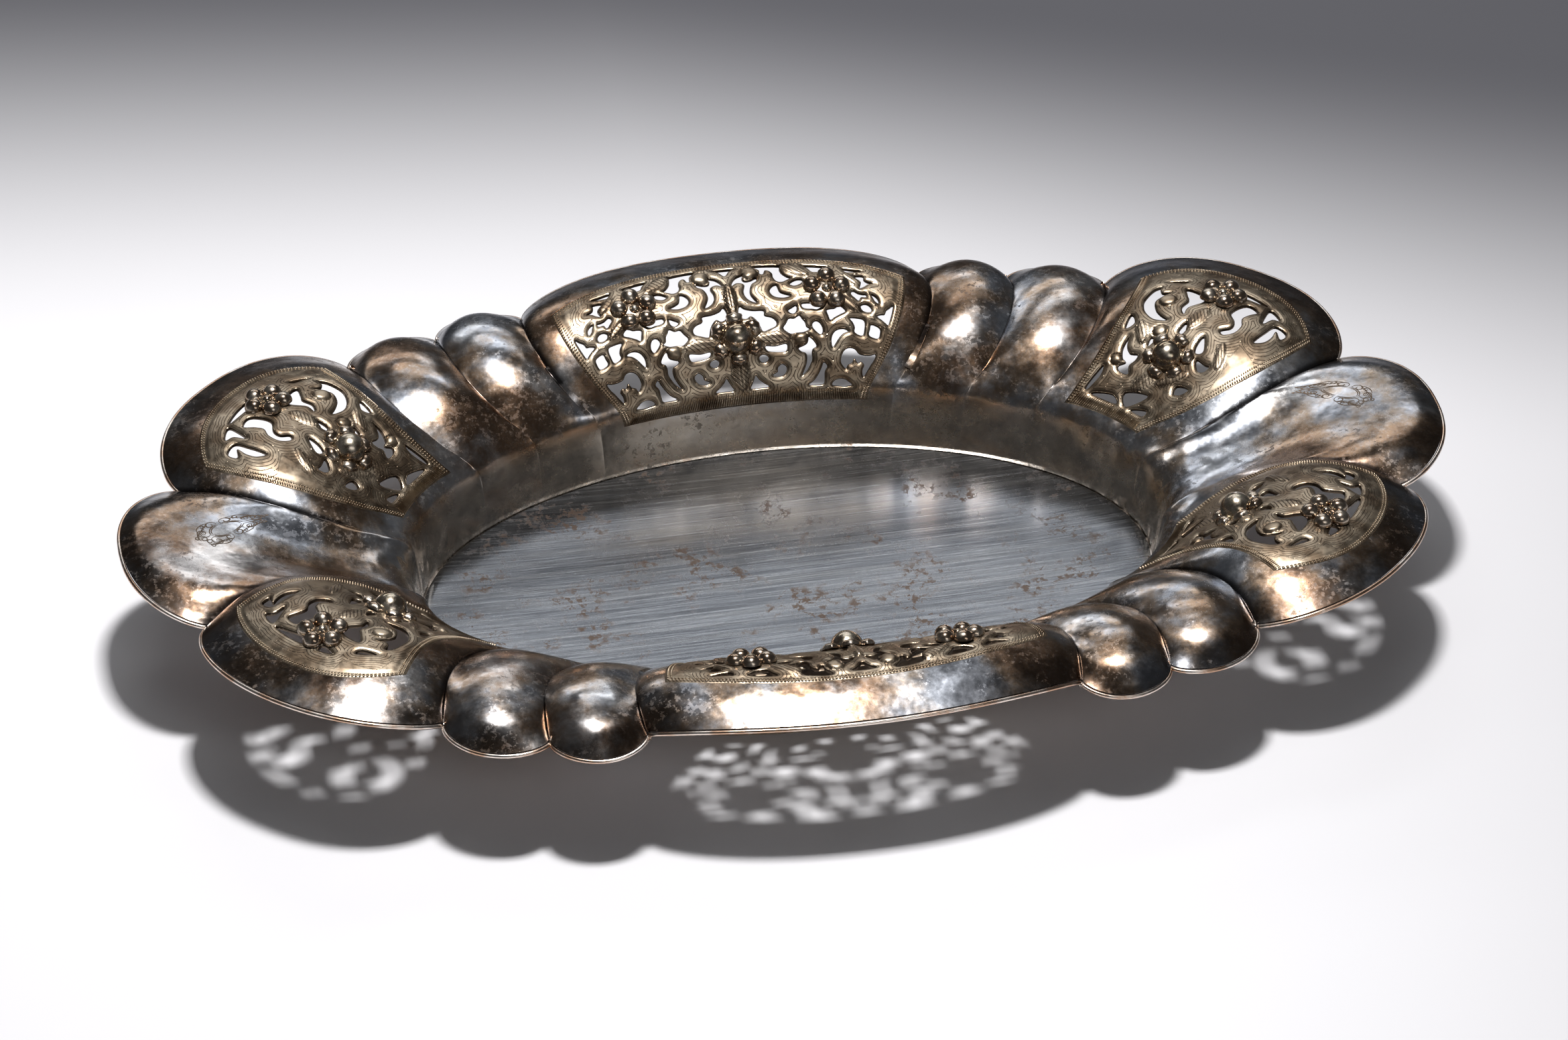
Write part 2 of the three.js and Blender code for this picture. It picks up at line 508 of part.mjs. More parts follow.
// Flat drawing of a panel on its lobe: turns mm across and mm up into a point of the sheet
function panelFrame(lobe) {
  const { bottom, top } = WINDOWS[lobe.kind];
  const { left, right, rise } = DRAWINGS[lobe.kind];
  const at = (k) => bottom + ((1 - bottom) * k) / ARC_STEPS;
  const lengths = [0];
  for (let k = 1; k <= ARC_STEPS; k += 1) {
    const here = surface(lobe, acrossWindow(lobe, 0, at(k)), at(k));
    const there = surface(lobe, acrossWindow(lobe, 0, at(k - 1)), at(k - 1));
    lengths.push(lengths[k - 1] + here.distanceTo(there));
  }
  const lengthAt = (v) => {
    const place = ((v - bottom) / (1 - bottom)) * ARC_STEPS;
    const k = Math.min(Math.floor(place), ARC_STEPS - 1);
    return THREE.MathUtils.lerp(lengths[k], lengths[k + 1], place - k);
  };
  const vAt = (length) => {
    let k = 1;
    while (k < ARC_STEPS && lengths[k] < length) k += 1;
    return at(k - 1 + (length - lengths[k - 1]) / (lengths[k] - lengths[k - 1]));
  };
  const height = lengthAt(top);
  const climb = (share, y) => {
    const t = THREE.MathUtils.clamp((y + FOOT_STRIP) / height, 0, 1);
    return rise[share < 0 ? 0 : 1] * Math.abs(share) ** RISE_POWER * 4 * t * (1 - t);
  };
  const toSheet = (x, y) => {
    const share = (2 * (x - left(y))) / (right(y) - left(y)) - 1;
    const v = vAt(y + FOOT_STRIP + climb(share, y));
    return { u: acrossWindow(lobe, share * lobe.hand, v), v };
  };
  const topOf = (share) => {
    const end = lengthAt(windowTop(lobe, share)) - FOOT_STRIP;
    let y = end;
    for (let k = 0; k < TOP_STEPS; k += 1) y = end - climb(share, y);
    return y;
  };
  return { left, right, toSheet, topOf };
}

// Outline of a panel in the flat, just inside its window all round
function panelOutline({ left, right, topOf }) {
  const low = GAP - FOOT_STRIP;
  const inFrom = (share, y) => {
    const a = left(y) + GAP;
    const b = right(y) - GAP;
    return new THREE.Vector2(THREE.MathUtils.lerp(a, b, (share + 1) / 2), y);
  };
  const edges = [
    (t) => inFrom(2 * t - 1, low),
    (t) => inFrom(1, THREE.MathUtils.lerp(low, topOf(1) - GAP, t)),
    (t) => inFrom(1 - 2 * t, topOf(1 - 2 * t) - GAP),
    (t) => inFrom(-1, THREE.MathUtils.lerp(topOf(-1) - GAP, low, t)),
  ];
  return edges.flatMap((edge) => Array.from({ length: PANEL_STEPS }, (_, k) => edge(k / PANEL_STEPS)));
}

// Smooth closed outline of one opening in the flat; side -1 mirrors it
function openingOutline(points, side) {
  const knots = points.map(([x, y]) => new THREE.Vector3(side * x, y, 0));
  const curve = new THREE.CatmullRomCurve3(knots, true);
  const count = Math.max(Math.round(POINTS_PER_KNOT * points.length), OPENING_POINTS);
  const spaced = curve.getSpacedPoints(count);
  return spaced.slice(0, -1).map((p) => new THREE.Vector2(p.x, p.y));
}

// Lays a flat sheet over its lobe: x across, y up and z through the sheet
function bentOver(lobe, frame, flat) {
  const place = flat.attributes.position;
  const positions = [];
  const triangles = [];
  for (let k = 0; k < place.count; k += 1) {
    const { u, v } = frame.toSheet(place.getX(k), place.getY(k));
    const p = surface(lobe, u, v);
    positions.push(...p.addScaledVector(surfaceNormal(lobe, u, v), place.getZ(k) - SHEET));
    triangles.push(k);
  }
  return closedGeometry(positions, triangles);
}

// Openings of a panel's drawing, as outlines
function openingsOf(kind) {
  if (kind === 'corner') return CORNER_OPENINGS.map((points) => openingOutline(points, 1));
  const onAxis = SIDE_AXIS_OPENINGS.map((points) => openingOutline(points, 1));
  const halves = [1, -1].map((side) => SIDE_OPENINGS.map((points) => openingOutline(points, side)));
  return [...onAxis, ...halves.flat()];
}

// Openwork panel: a sheet that fits its window, sawn through with scrollwork and then raised
// to the curve of its lobe
function openworkPanel(lobe) {
  const frame = panelFrame(lobe);
  const sheet = new THREE.Shape(panelOutline(frame));
  openingsOf(lobe.kind).forEach((outline) => sheet.holes.push(new THREE.Path(outline)));
  const flat = new THREE.ExtrudeGeometry(sheet, { depth: SHEET, bevelEnabled: false });
  return named(`openwork_${lobe.name}`, bentOver(lobe, frame, flat), silver(0xb09a76, 0.45));
}

function dome(radius, height, sides, rings) {
  const profile = [new THREE.Vector2(0, 0), new THREE.Vector2(radius, 0)];
  for (let k = 1; k <= rings; k += 1) {
    const t = (Math.PI / 2) * (k / (rings + 1));
    profile.push(new THREE.Vector2(radius * Math.cos(t), height * Math.sin(t)));
  }
  profile.push(new THREE.Vector2(0, height));
  return new THREE.LatheGeometry(profile, sides).rotateX(Math.PI / 2);
}

// One flower head: raised petals that grow together with the eye in their middle
function flowerHead(shape) {
  const turn = THREE.MathUtils.degToRad(shape.turn);
  const eye = dome(shape.eye, shape.eyeHeight, shape.eyeSides, shape.eyeRings);
  let head = toManifold(eye.rotateZ(turn + Math.PI / 2));
  for (let k = 0; k < shape.petals; k += 1) {
    const a = (2 * Math.PI * k) / shape.petals + turn;
    const petal = dome(shape.petalRadius, shape.petalHeight, PETAL_SIDES, 1).rotateZ(a);
    petal.translate(shape.ring * Math.cos(a), shape.ring * Math.sin(a), 0);
    head = head.add(toManifold(petal));
  }
  return fromManifold(head);
}

// Flower head set on its panel, square to the sheet
function placedFlower(lobe, flower) {
  const { u, v } = panelFrame(lobe).toSheet(flower.x, flower.y);
  const normal = surfaceNormal(lobe, u, v);
  const upward = surface(lobe, u, v + PROBE).sub(surface(lobe, u, v - PROBE)).normalize();
  const across = upward.clone().cross(normal).normalize();
  const turn = new THREE.Matrix4().makeBasis(across, normal.clone().cross(across), normal);
  const mesh = named(
    `${flower.name}_${lobe.name}`,
    flowerHead(flower.rose ? ROSE : BLOSSOM),
    silver(0x8d7c68, 0.22),
  );
  mesh.position.copy(surface(lobe, u, v)).addScaledVector(normal, flower.rose ? ROSE_LIFT : GAP);
  mesh.quaternion.setFromRotationMatrix(turn);
  return mesh;
}

const dish = new THREE.Group();
dish.add(floorPlate());
dish.add(rimShell());
dish.add(edgeWire());
LOBES.filter((lobe) => WINDOWS[lobe.kind]).forEach((lobe) => {
  dish.add(openworkPanel(lobe));
  const flowers = lobe.kind === 'side' ? SIDE_FLOWERS : CORNER_FLOWERS;
  flowers.forEach((flower) => dish.add(placedFlower(lobe, flower)));
});

export default dish;
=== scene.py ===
# Looks of the pierced oval silver dish: fine lobed wall, openwork with its chasing and beading,
# flower heads, rim wire, brushed floor, and the plain studio that it is shown in.
import math

import bpy
import numpy as np
from mathutils import Matrix


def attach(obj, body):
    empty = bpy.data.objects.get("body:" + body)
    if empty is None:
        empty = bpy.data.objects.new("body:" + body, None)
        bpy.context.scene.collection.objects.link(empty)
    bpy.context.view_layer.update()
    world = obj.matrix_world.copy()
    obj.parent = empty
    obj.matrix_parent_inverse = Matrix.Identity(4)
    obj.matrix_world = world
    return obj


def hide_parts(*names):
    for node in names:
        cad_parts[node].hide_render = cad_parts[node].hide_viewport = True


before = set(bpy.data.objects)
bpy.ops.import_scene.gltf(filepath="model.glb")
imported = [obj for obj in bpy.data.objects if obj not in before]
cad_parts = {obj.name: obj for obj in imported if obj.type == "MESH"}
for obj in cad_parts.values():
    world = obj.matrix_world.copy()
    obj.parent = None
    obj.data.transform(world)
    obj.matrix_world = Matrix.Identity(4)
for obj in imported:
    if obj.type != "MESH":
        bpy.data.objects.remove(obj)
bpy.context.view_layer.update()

MM = 0.001

# Driving dimensions in millimetres, the same as the solids'
SHEET = 1.0  # thickness of the silver sheet
GAP = 0.3  # clearance between pieces that touch
WELL_A = 93.7  # half length of the flat floor, at the crease
WELL_B = 58.0  # half width of the flat floor, at the crease
FLOOR_TOP = 1.0
NOTCH_HEIGHT = 28.75  # rise from the floor to the rim at the notches
BOW = 6.6  # how far a crease swings towards the end of the dish
WIRE_RADIUS = 0.55
WIRE_FLAT = 0.96  # height of the wire's section over its width
WIRE_GAP = GAP * 0.3  # left open between the wire and the edge of the sheet
PROBE = 0.002  # step in u and v that gives the sheet's normal

# Rim notches of one quarter: place at the rim, small rise there, angle where the crease ends
NOTCHES = {
    "side": (53.1, 89.0, 0.0, 66.5),
    "first": (76.0, 85.3, -1.4, 54.3),
    "second": (99.8, 75.1, -0.2, 41.0),
    "end": (149.8, 28.2, 1.4, 11.7),
}
# Stations up the wall, and for each how far out (share of the reach) and how far up (mm)
STATIONS = np.array([0, 0.05, 0.12, 0.22, 0.34, 0.46, 0.58, 0.7, 0.81, 0.91, 1])
PROFILES = {
    "crease": ([0, 0.01, 0.022, 0.045, 0.13, 0.22, 0.335, 0.48, 0.61, 0.8, 1],
               [0, 5.1, 12, 17.8, 21.4, 23.6, 26.6, 29.4, 31.2, 32, NOTCH_HEIGHT]),
    "side": ([0, 0.012, 0.024, 0.045, 0.15, 0.215, 0.32, 0.467, 0.67, 0.84, 1],
             [0, 5.1, 12, 18.4, 23.7, 27.2, 31.5, 35.7, 38.8, 37.6, 34.5]),
    "gadroon": ([0, 0.012, 0.026, 0.06, 0.15, 0.27, 0.41, 0.56, 0.73, 0.9, 1],
                [0, 5.1, 12, 18.2, 23.6, 28.6, 32, 33.8, 34.2, 32, 27.3]),
    "corner": ([0, 0.012, 0.026, 0.06, 0.145, 0.215, 0.322, 0.469, 0.64, 0.845, 1],
               [0, 5.1, 12, 17.8, 22.6, 26.4, 31.4, 37, 39.6, 37.9, 34.4]),
    "end": ([0, 0.012, 0.03, 0.08, 0.19, 0.32, 0.46, 0.61, 0.78, 0.92, 1],
            [0, 5.1, 12, 17.6, 21.4, 25.2, 29.2, 32.9, 35.8, 36.4, 34.4]),
}
# Bulge of a lobe's edge, and how full its edge and its cross-section are
KINDS = {
    "side": (12.6, (2.1, 0.72), (3.6, 0.62)),
    "gadroon": (7.8, (2.0, 0.62), (2.0, 0.8)),
    "corner": (19.6, (2.2, 0.62), (3.0, 0.62)),
    "end": (17.6, (2.3, 0.6), (2.6, 0.62)),
}
# Windows for the openwork: lower and upper edge, side edges low down and high up, how far the
# side edges swell between these, and how far the top comes down at the sides
WINDOWS = {
    "side": (0.16, 0.876, (-0.825, 0.825), (-0.875, 0.875), (-0.02, 0.02), (0.035, 0.035)),
    "corner": (0.27, 0.925, (-0.72, 0.50), (-0.80, 0.88), (0.0, 0.14), (0.045, 0.012)),
}
QUARTER = ["side", "first", "second", "end"]
NAMES = """back back_right_1 back_right_2 back_right right front_right front_right_2 front_right_1 front
    front_left_1 front_left_2 front_left left back_left back_left_2 back_left_1""".split()
MIRRORED = {"front_right", "back_left"}  # lobes whose first side is the drawing's right one


def notch(name, sx, sy):
    """Rim point, rise, foot angle and sideways swing of one crease."""
    x, y, rise, foot = NOTCHES[name]
    t = math.radians(foot)
    dx, dy = x - WELL_A * math.cos(t), y - WELL_B * math.sin(t)
    reach = math.hypot(dx, dy)
    swing = BOW * dy / reach, -BOW * dx / reach
    angle = math.atan2(sy * math.sin(t), sx * math.cos(t))
    return sx * x, sy * y, rise, angle, sx * swing[0], sy * swing[1]


def make_lobes():
    """The sixteen lobes, clockwise from the back one, each between two notches."""
    ring = [notch(name, sx, sy) for sx, sy, order in ((1, 1, 1), (1, -1, -1), (-1, -1, 1), (-1, 1, -1))
            for name in QUARTER[::order]]
    kinds = {"back": "side", "front": "side", "left": "end", "right": "end"}
    made = []
    for i, name in enumerate(NAMES):
        kind = "gadroon" if name[-1].isdigit() else kinds.get(name, "corner")
        made.append({"name": name, "kind": kind, "hand": -1 if name in MIRRORED else 1,
                     "start": ring[i - 1], "finish": ring[i]})
    return made


def follow(values, v):
    """Smooth curve through a profile's stations."""
    values = np.asarray(values, float)
    last = len(STATIONS) - 1
    low = np.maximum(np.arange(last + 1) - 1, 0)
    high = np.minimum(np.arange(last + 1) + 1, last)
    slope = (values[high] - values[low]) / (STATIONS[high] - STATIONS[low])
    i = np.clip(np.searchsorted(STATIONS, v, side="right") - 1, 0, last - 1)
    h = STATIONS[i + 1] - STATIONS[i]
    t = (v - STATIONS[i]) / h
    rise = values[i + 1] - values[i]
    ease = t * t * (3 - 2 * t)
    return values[i] + ease * rise + t * (1 - t) * ((1 - t) * slope[i] - t * slope[i + 1]) * h


def unit(vectors):
    return vectors / np.maximum(np.linalg.norm(vectors, axis=-1, keepdims=True), 1e-12)


def fullness(u, shape):
    return np.maximum(1 - np.abs(u) ** shape[0], 0) ** shape[1]


def surface(lobe, u, v):
    """Points of the upper face of the sheet: u across the lobe, v from the floor to the rim."""
    u, v = np.broadcast_arrays(np.asarray(u, float), np.asarray(v, float))
    x0, y0, rise0, angle0, swing_x0, swing_y0 = lobe["start"]
    x1, y1, rise1, angle1, swing_x1, swing_y1 = lobe["finish"]
    bulge, edge_shape, section = KINDS[lobe["kind"]]
    s = (u + 1) / 2
    sweep = angle1 - angle0
    if sweep > 0:
        sweep -= 2 * math.pi
    angle = angle0 + sweep * s
    foot_x, foot_y = WELL_A * np.cos(angle), WELL_B * np.sin(angle)
    chord_x, chord_y = x1 - x0, y1 - y0
    chord = math.hypot(chord_x, chord_y)
    swell = bulge * fullness(u, edge_shape) / chord
    edge_x = x0 + chord_x * s - chord_y * swell
    edge_y = y0 + chord_y * s + chord_x * swell
    w = fullness(u, section)
    out_crease, up_crease = PROFILES["crease"]
    out_crown, up_crown = PROFILES[lobe["kind"]]
    out = (1 - w) * follow(out_crease, v) + w * follow(out_crown, v)
    up = (1 - w) * follow(up_crease, v) + w * follow(up_crown, v)
    up = up + (rise0 + (rise1 - rise0) * s) * (1 - w) * v * v
    hump = 4 * out * (1 - out)
    x = foot_x + (edge_x - foot_x) * out + (swing_x0 + (swing_x1 - swing_x0) * s) * hump
    y = foot_y + (edge_y - foot_y) * out + (swing_y0 + (swing_y1 - swing_y0) * s) * hump
    return np.stack([x, y, FLOOR_TOP + up], -1)


def surface_normal(lobe, u, v):
    across = surface(lobe, np.clip(u + PROBE, -1, 1), v) - surface(lobe, np.clip(u - PROBE, -1, 1), v)
    along = surface(lobe, u, np.clip(v + PROBE, 0, 1)) - surface(lobe, u, np.clip(v - PROBE, 0, 1))
    return unit(np.cross(across, along))


def window_side(lobe, k, v):
    """Side edge of a lobe's window at height v: k is 0 for its first side, 1 for its last."""
    bottom, top, low, high, swell = WINDOWS[lobe["kind"]][:5]
    t = np.clip((v - bottom) / (top - bottom), 0, 1)
    hand = lobe["hand"]
    pick = k if hand > 0 else 1 - k
    return hand * (low[pick] + (high[pick] - low[pick]) * t + swell[pick] * 4 * t * (1 - t))


def window_top(lobe, share):
    """Upper edge of a window, by the share across it as drawn."""
    top, cut = WINDOWS[lobe["kind"]][1], WINDOWS[lobe["kind"]][5]
    return top - cut[0] * np.clip(-share, 0, 1) ** 2 - cut[1] * np.clip(share, 0, 1) ** 2


# ---- Meshes

def new_object(name, points_mm, faces, sharp=None):
    mesh = bpy.data.meshes.new(name)
    mesh.from_pydata((np.asarray(points_mm, float) * MM).tolist(), [], faces)
    mesh.validate()
    mesh.shade_smooth()
    if sharp:
        mesh.set_sharp_from_angle(angle=math.radians(sharp))
    obj = bpy.data.objects.new(name, mesh)
    bpy.context.scene.collection.objects.link(obj)
    return obj


def give_attribute(obj, name, values):
    data = np.asarray(values, np.float32)
    if data.ndim == 1:
        obj.data.attributes.new(name, "FLOAT", "POINT").data.foreach_set("value", data)
    else:
        obj.data.attributes.new(name, "FLOAT_VECTOR", "POINT").data.foreach_set("vector", data.ravel())


def ring_faces(sides, rings):
    """Faces of a disk or dome: its points are the middle one, then the rings from inside out."""
    faces = [(0, 1 + k, 1 + (k + 1) % sides) for k in range(sides)]
    for r in range(rings - 1):
        for k in range(sides):
            a, b = 1 + r * sides + k, 1 + r * sides + (k + 1) % sides
            faces.append((a, a + sides, b + sides, b))
    return faces


# ---- Wall

BASE_BOTTOM, BASE_TOP = 0.22, 0.88  # rows of the wall's grid that follow the window edges
ROW_KEYS = [(0, 0.06, 8), (0.06, BASE_BOTTOM, 14), (BASE_BOTTOM, 0.5, 22), (0.5, BASE_TOP, 26),
            (BASE_TOP, 1, 10)]
MARGIN_COLUMNS = 12
INNER_COLUMNS = {"side": 110, "corner": 64}
PLAIN_COLUMNS = {"gadroon": 48, "end": 84}


def wall_rows():
    parts = [np.linspace(a, b, n, endpoint=False) for a, b, n in ROW_KEYS]
    return np.concatenate(parts + [[1.0]])


def wall_columns(lobe):
    """(u at each row, v at each row, inside window) of every column of a lobe."""
    rows = wall_rows()
    if lobe["kind"] not in WINDOWS:
        n = PLAIN_COLUMNS[lobe["kind"]]
        return [(np.full(len(rows), math.sin(math.pi * (i / n - 0.5))), rows, False) for i in range(n)]
    bottom = WINDOWS[lobe["kind"]][0]
    columns = []

    def rows_at(share, grip):
        top = window_top(lobe, share * lobe["hand"])
        moved = np.interp(rows, [0, BASE_BOTTOM, BASE_TOP, 1], [0, bottom, top, 1])
        return rows + (moved - rows) * grip

    def between(v, share):
        a, b = window_side(lobe, 0, v), window_side(lobe, 1, v)
        return a + (b - a) * (share + 1) / 2

    for k in range(MARGIN_COLUMNS):
        grip = 1 - math.cos(math.pi / 2 * k / MARGIN_COLUMNS)
        v = rows_at(-1.0, grip)
        columns.append((-1 + (window_side(lobe, 0, v) + 1) * grip, v, False))
    n = INNER_COLUMNS[lobe["kind"]]
    for k in range(n + 1):
        v = rows_at(2 * k / n - 1, 1.0)
        columns.append((between(v, 2 * k / n - 1), v, k < n))
    for k in range(1, MARGIN_COLUMNS):
        grip = 1 - math.sin(math.pi / 2 * (k / MARGIN_COLUMNS))
        v = rows_at(1.0, grip)
        columns.append((1 - (1 - window_side(lobe, 1, v)) * grip, v, False))
    return columns


def wall_grid():
    """Points of the upper face by columns, which columns cross a window, and what the patina and its
    painted shade and reflection read.
    """
    points, inside, creases, heights = [], [], [], []
    for lobe in lobes:
        for u, v, hole in wall_columns(lobe):
            points.append(surface(lobe, u, v))
            inside.append(hole)
            # 0 in a crease, 1 in the middle of a lobe and on the foot of the wall
            creases.append(1.0 - np.abs(u) * np.clip((v - 0.2) / 0.35, 0, 1))
            heights.append(v)
    return np.array(points), np.array(inside), np.array(creases), np.array(heights)


def lower_face(grid):
    """One thickness below the grid of upper points, along their averaged normals."""
    ahead = np.roll(grid, -1, axis=0)
    across = ahead[:, 1:] - grid[:, :-1]
    along = grid[:, 1:] - ahead[:, :-1]
    n = unit(np.cross(across, along))
    total = np.zeros_like(grid)
    total[:, :-1] += n
    total[:, 1:] += n
    back = np.roll(n, 1, axis=0)
    total[:, :-1] += back
    total[:, 1:] += back
    low = grid - unit(total) * SHEET
    low[..., 2] = np.maximum(low[..., 2], 0)
    return low


def band_faces(metal):
    """Faces of a closed band of sheet, above, below and where it is cut: only where there is metal."""
    columns, height = metal.shape[0], metal.shape[1] + 1
    number = np.arange(columns * height).reshape(columns, height)
    under = columns * height
    i, j = np.nonzero(metal)
    k = (i + 1) % columns
    faces = [np.stack([number[i, j], number[k, j], number[k, j + 1], number[i, j + 1]], 1),
             under + np.stack([number[i, j], number[i, j + 1], number[k, j + 1], number[k, j]], 1)]
    padded = np.zeros((columns, height + 1), bool)
    padded[:, 1:-1] = metal
    # a neighbour without metal, and the two corners of the cell on that side
    for (di, dj), order in (((0, -1), ((0, 0), (1, 0))), ((0, 1), ((1, 1), (0, 1))),
                            ((-1, 0), ((0, 1), (0, 0))), ((1, 0), ((1, 0), (1, 1)))):
        neighbour = padded[(i + di) % columns, j + dj + 1]
        ii, jj = i[~neighbour], j[~neighbour]
        a = number[(ii + order[0][0]) % columns, jj + order[0][1]]
        b = number[(ii + order[1][0]) % columns, jj + order[1][1]]
        faces.append(np.stack([b, a, under + a, under + b], 1))
    return np.concatenate(faces)


def make_wall():
    """The wall with its windows, and the points of its upper and lower face."""
    grid, hole, crease, rise = wall_grid()
    foot = grid[:, :1].copy()
    foot[..., 2] = 0
    grid = np.concatenate([foot, grid], axis=1)
    crease = np.concatenate([crease[:, :1], crease], axis=1)
    rise = np.concatenate([rise[:, :1], rise], axis=1)
    low = lower_face(grid)
    rows = wall_rows()
    middle = (rows[1:] + rows[:-1]) / 2
    in_rows = np.concatenate([[False], (middle > BASE_BOTTOM) & (middle < BASE_TOP)])
    faces = band_faces(~(hole[:, None] & in_rows[None, :]))
    points = np.concatenate([grid.reshape(-1, 3), low.reshape(-1, 3)])
    used = np.unique(faces)
    renumber = np.full(len(points), -1)
    renumber[used] = np.arange(len(used))
    obj = new_object("wall", points[used], renumber[faces].tolist(), sharp=52)
    give_attribute(obj, "crease", np.tile(crease.ravel(), 2)[used])
    give_attribute(obj, "height", np.tile(rise.ravel(), 2)[used])
    return obj, grid, low


# ---- Engraved cartouches on the end lobes

# middle of each as u and v of its lobe, and its turn in radians
CARTOUCHE = {"right": (-0.44, 0.765, 0.24), "left": (0.37, 0.72, -0.55)}
LINE_WIDTH = 0.3  # mm
LINE_LIFT = 0.04  # mm that the dark strips of the lines lie above the sheet


def curl(cx, cy, radius, start, turns):
    """Spiral stroke that tightens from its start to a fifth of its radius."""
    t = np.linspace(0, 1, 28)
    angle = start + 2 * math.pi * turns * t
    r = radius * (1 - 0.8 * t)
    return np.stack([cx + r * np.cos(angle), cy + r * np.sin(angle)], 1)


def arc(cx, cy, rx, ry, start, end):
    t = np.linspace(start, end, 20)
    return np.stack([cx + rx * np.cos(t), cy + ry * np.sin(t)], 1)


def cartouche_strokes():
    """Scrolls round an empty middle, mirrored in both directions, mm from there."""
    quarter = [
        curl(5.6, 2.2, 1.9, -2.4, 1.3), curl(1.9, 3.3, 1.5, 3.6, -1.2), curl(7.4, 0.9, 1.1, 2.2, 1.1),
        arc(0, 0, 4.6, 2.7, 0.15, 1.45), arc(3.4, 2.6, 3.0, 2.1, 0.4, 2.0),
        arc(6.2, 0.0, 2.4, 2.9, 0.3, 1.3),
        *(arc(2.2 + 0.75 * k, 3.1 - 0.3 * k, 0.5, 1.1, 0.3, 1.9) for k in range(4)),
        *(arc(4.4 + 0.6 * k, 1.7 - 0.1 * k, 0.9, 1.5, 0.2, 1.7) for k in range(5)),
        arc(0, 0, 4.1, 2.3, 0.1, 1.5), curl(3.9, 3.9, 0.8, 0.5, 1.1), curl(8.3, 2.0, 0.7, 3.0, -1.1),
    ]
    return [stroke * (sx, sy) for stroke in quarter for sx in (1, -1) for sy in (1, -1)]


def make_cartouche(lobe):
    """Points and faces of the engraved lines, as thin strips on the surface of a lobe."""
    u0, v0, turn = CARTOUCHE[lobe["name"]]
    across = (surface(lobe, u0 + PROBE, v0) - surface(lobe, u0 - PROBE, v0)) / (2 * PROBE)
    along = (surface(lobe, u0, v0 + PROBE) - surface(lobe, u0, v0 - PROBE)) / (2 * PROBE)
    per_u, per_v = np.linalg.norm(across), np.linalg.norm(along)
    points, faces = [], []
    for stroke in cartouche_strokes():
        step = unit(np.gradient(stroke, axis=0))
        aside = np.stack([-step[:, 1], step[:, 0]], 1)
        width = LINE_WIDTH / 2 * np.sin(math.pi * np.linspace(0.08, 0.92, len(stroke)))[:, None]
        base = len(points)
        for line in (stroke + aside * width, stroke - aside * width):
            x = line[:, 0] * math.cos(turn) - line[:, 1] * math.sin(turn)
            y = line[:, 0] * math.sin(turn) + line[:, 1] * math.cos(turn)
            u, v = u0 + x / per_u, v0 + y / per_v
            points += (surface(lobe, u, v) + LINE_LIFT * surface_normal(lobe, u, v)).tolist()
        n = len(stroke)
        faces += [(base + k, base + n + k, base + n + k + 1, base + k + 1) for k in range(n - 1)]
    return points, faces


# ---- Rim wire

def make_wire(grid, low):
    """Round wire along the edge of the wall, given the points of the wall's two faces."""
    upper, under = grid[:, -1], low[:, -1]
    level = np.array([1, 1, 0])
    before = unit((upper - np.roll(upper, 1, axis=0)) * level)
    after = unit((np.roll(upper, -1, axis=0) - upper) * level)
    out = unit(np.stack([-(before + after)[:, 1], (before + after)[:, 0], 0 * before[:, 0]], 1))
    # the wire keeps its distance from both sides of a notch, within a limit
    facing = np.maximum(-out[:, 0] * after[:, 1] + out[:, 1] * after[:, 0], 0.4)
    normal = unit(upper - under)
    out = unit(out - normal * (out * normal).sum(1, keepdims=True))
    centre = (upper + under) / 2 + out * ((WIRE_RADIUS + WIRE_GAP) / facing)[:, None]
    sides = 12
    angles = 2 * math.pi * np.arange(sides)[None, :, None] / sides
    ring = centre[:, None] + WIRE_RADIUS * (np.cos(angles) * out[:, None]
                                           + WIRE_FLAT * np.sin(angles) * normal[:, None])
    a = np.arange(len(centre) * sides).reshape(-1, sides)
    b = np.roll(a, -1, axis=0)
    quads = np.stack([a, b, np.roll(b, -1, axis=1), np.roll(a, -1, axis=1)], -1)
    return new_object("rim_wire", ring.reshape(-1, 3), quads.reshape(-1, 4).tolist())


# ---- Openwork, drawn flat: mm across (x) and mm up (y), then laid over its lobe

FOOT_STRIP = 2.0  # the drawing's zero line lies this far above the panel's lower edge
# Left and right side of the drawings at height y, and how far their rows rise towards each side
DRAWINGS = {
    "side": (lambda y: -31.7 - 0.46 * y + 0.0024 * y * y,
             lambda y: 31.7 + 0.46 * y - 0.0024 * y * y, (-4.8, -4.8)),
    "corner": (lambda y: -11.5 - 0.004 * y * y,
               lambda y: 13.3 + 0.57 * y - 0.0042 * y * y, (4.0, 1.0)),
}
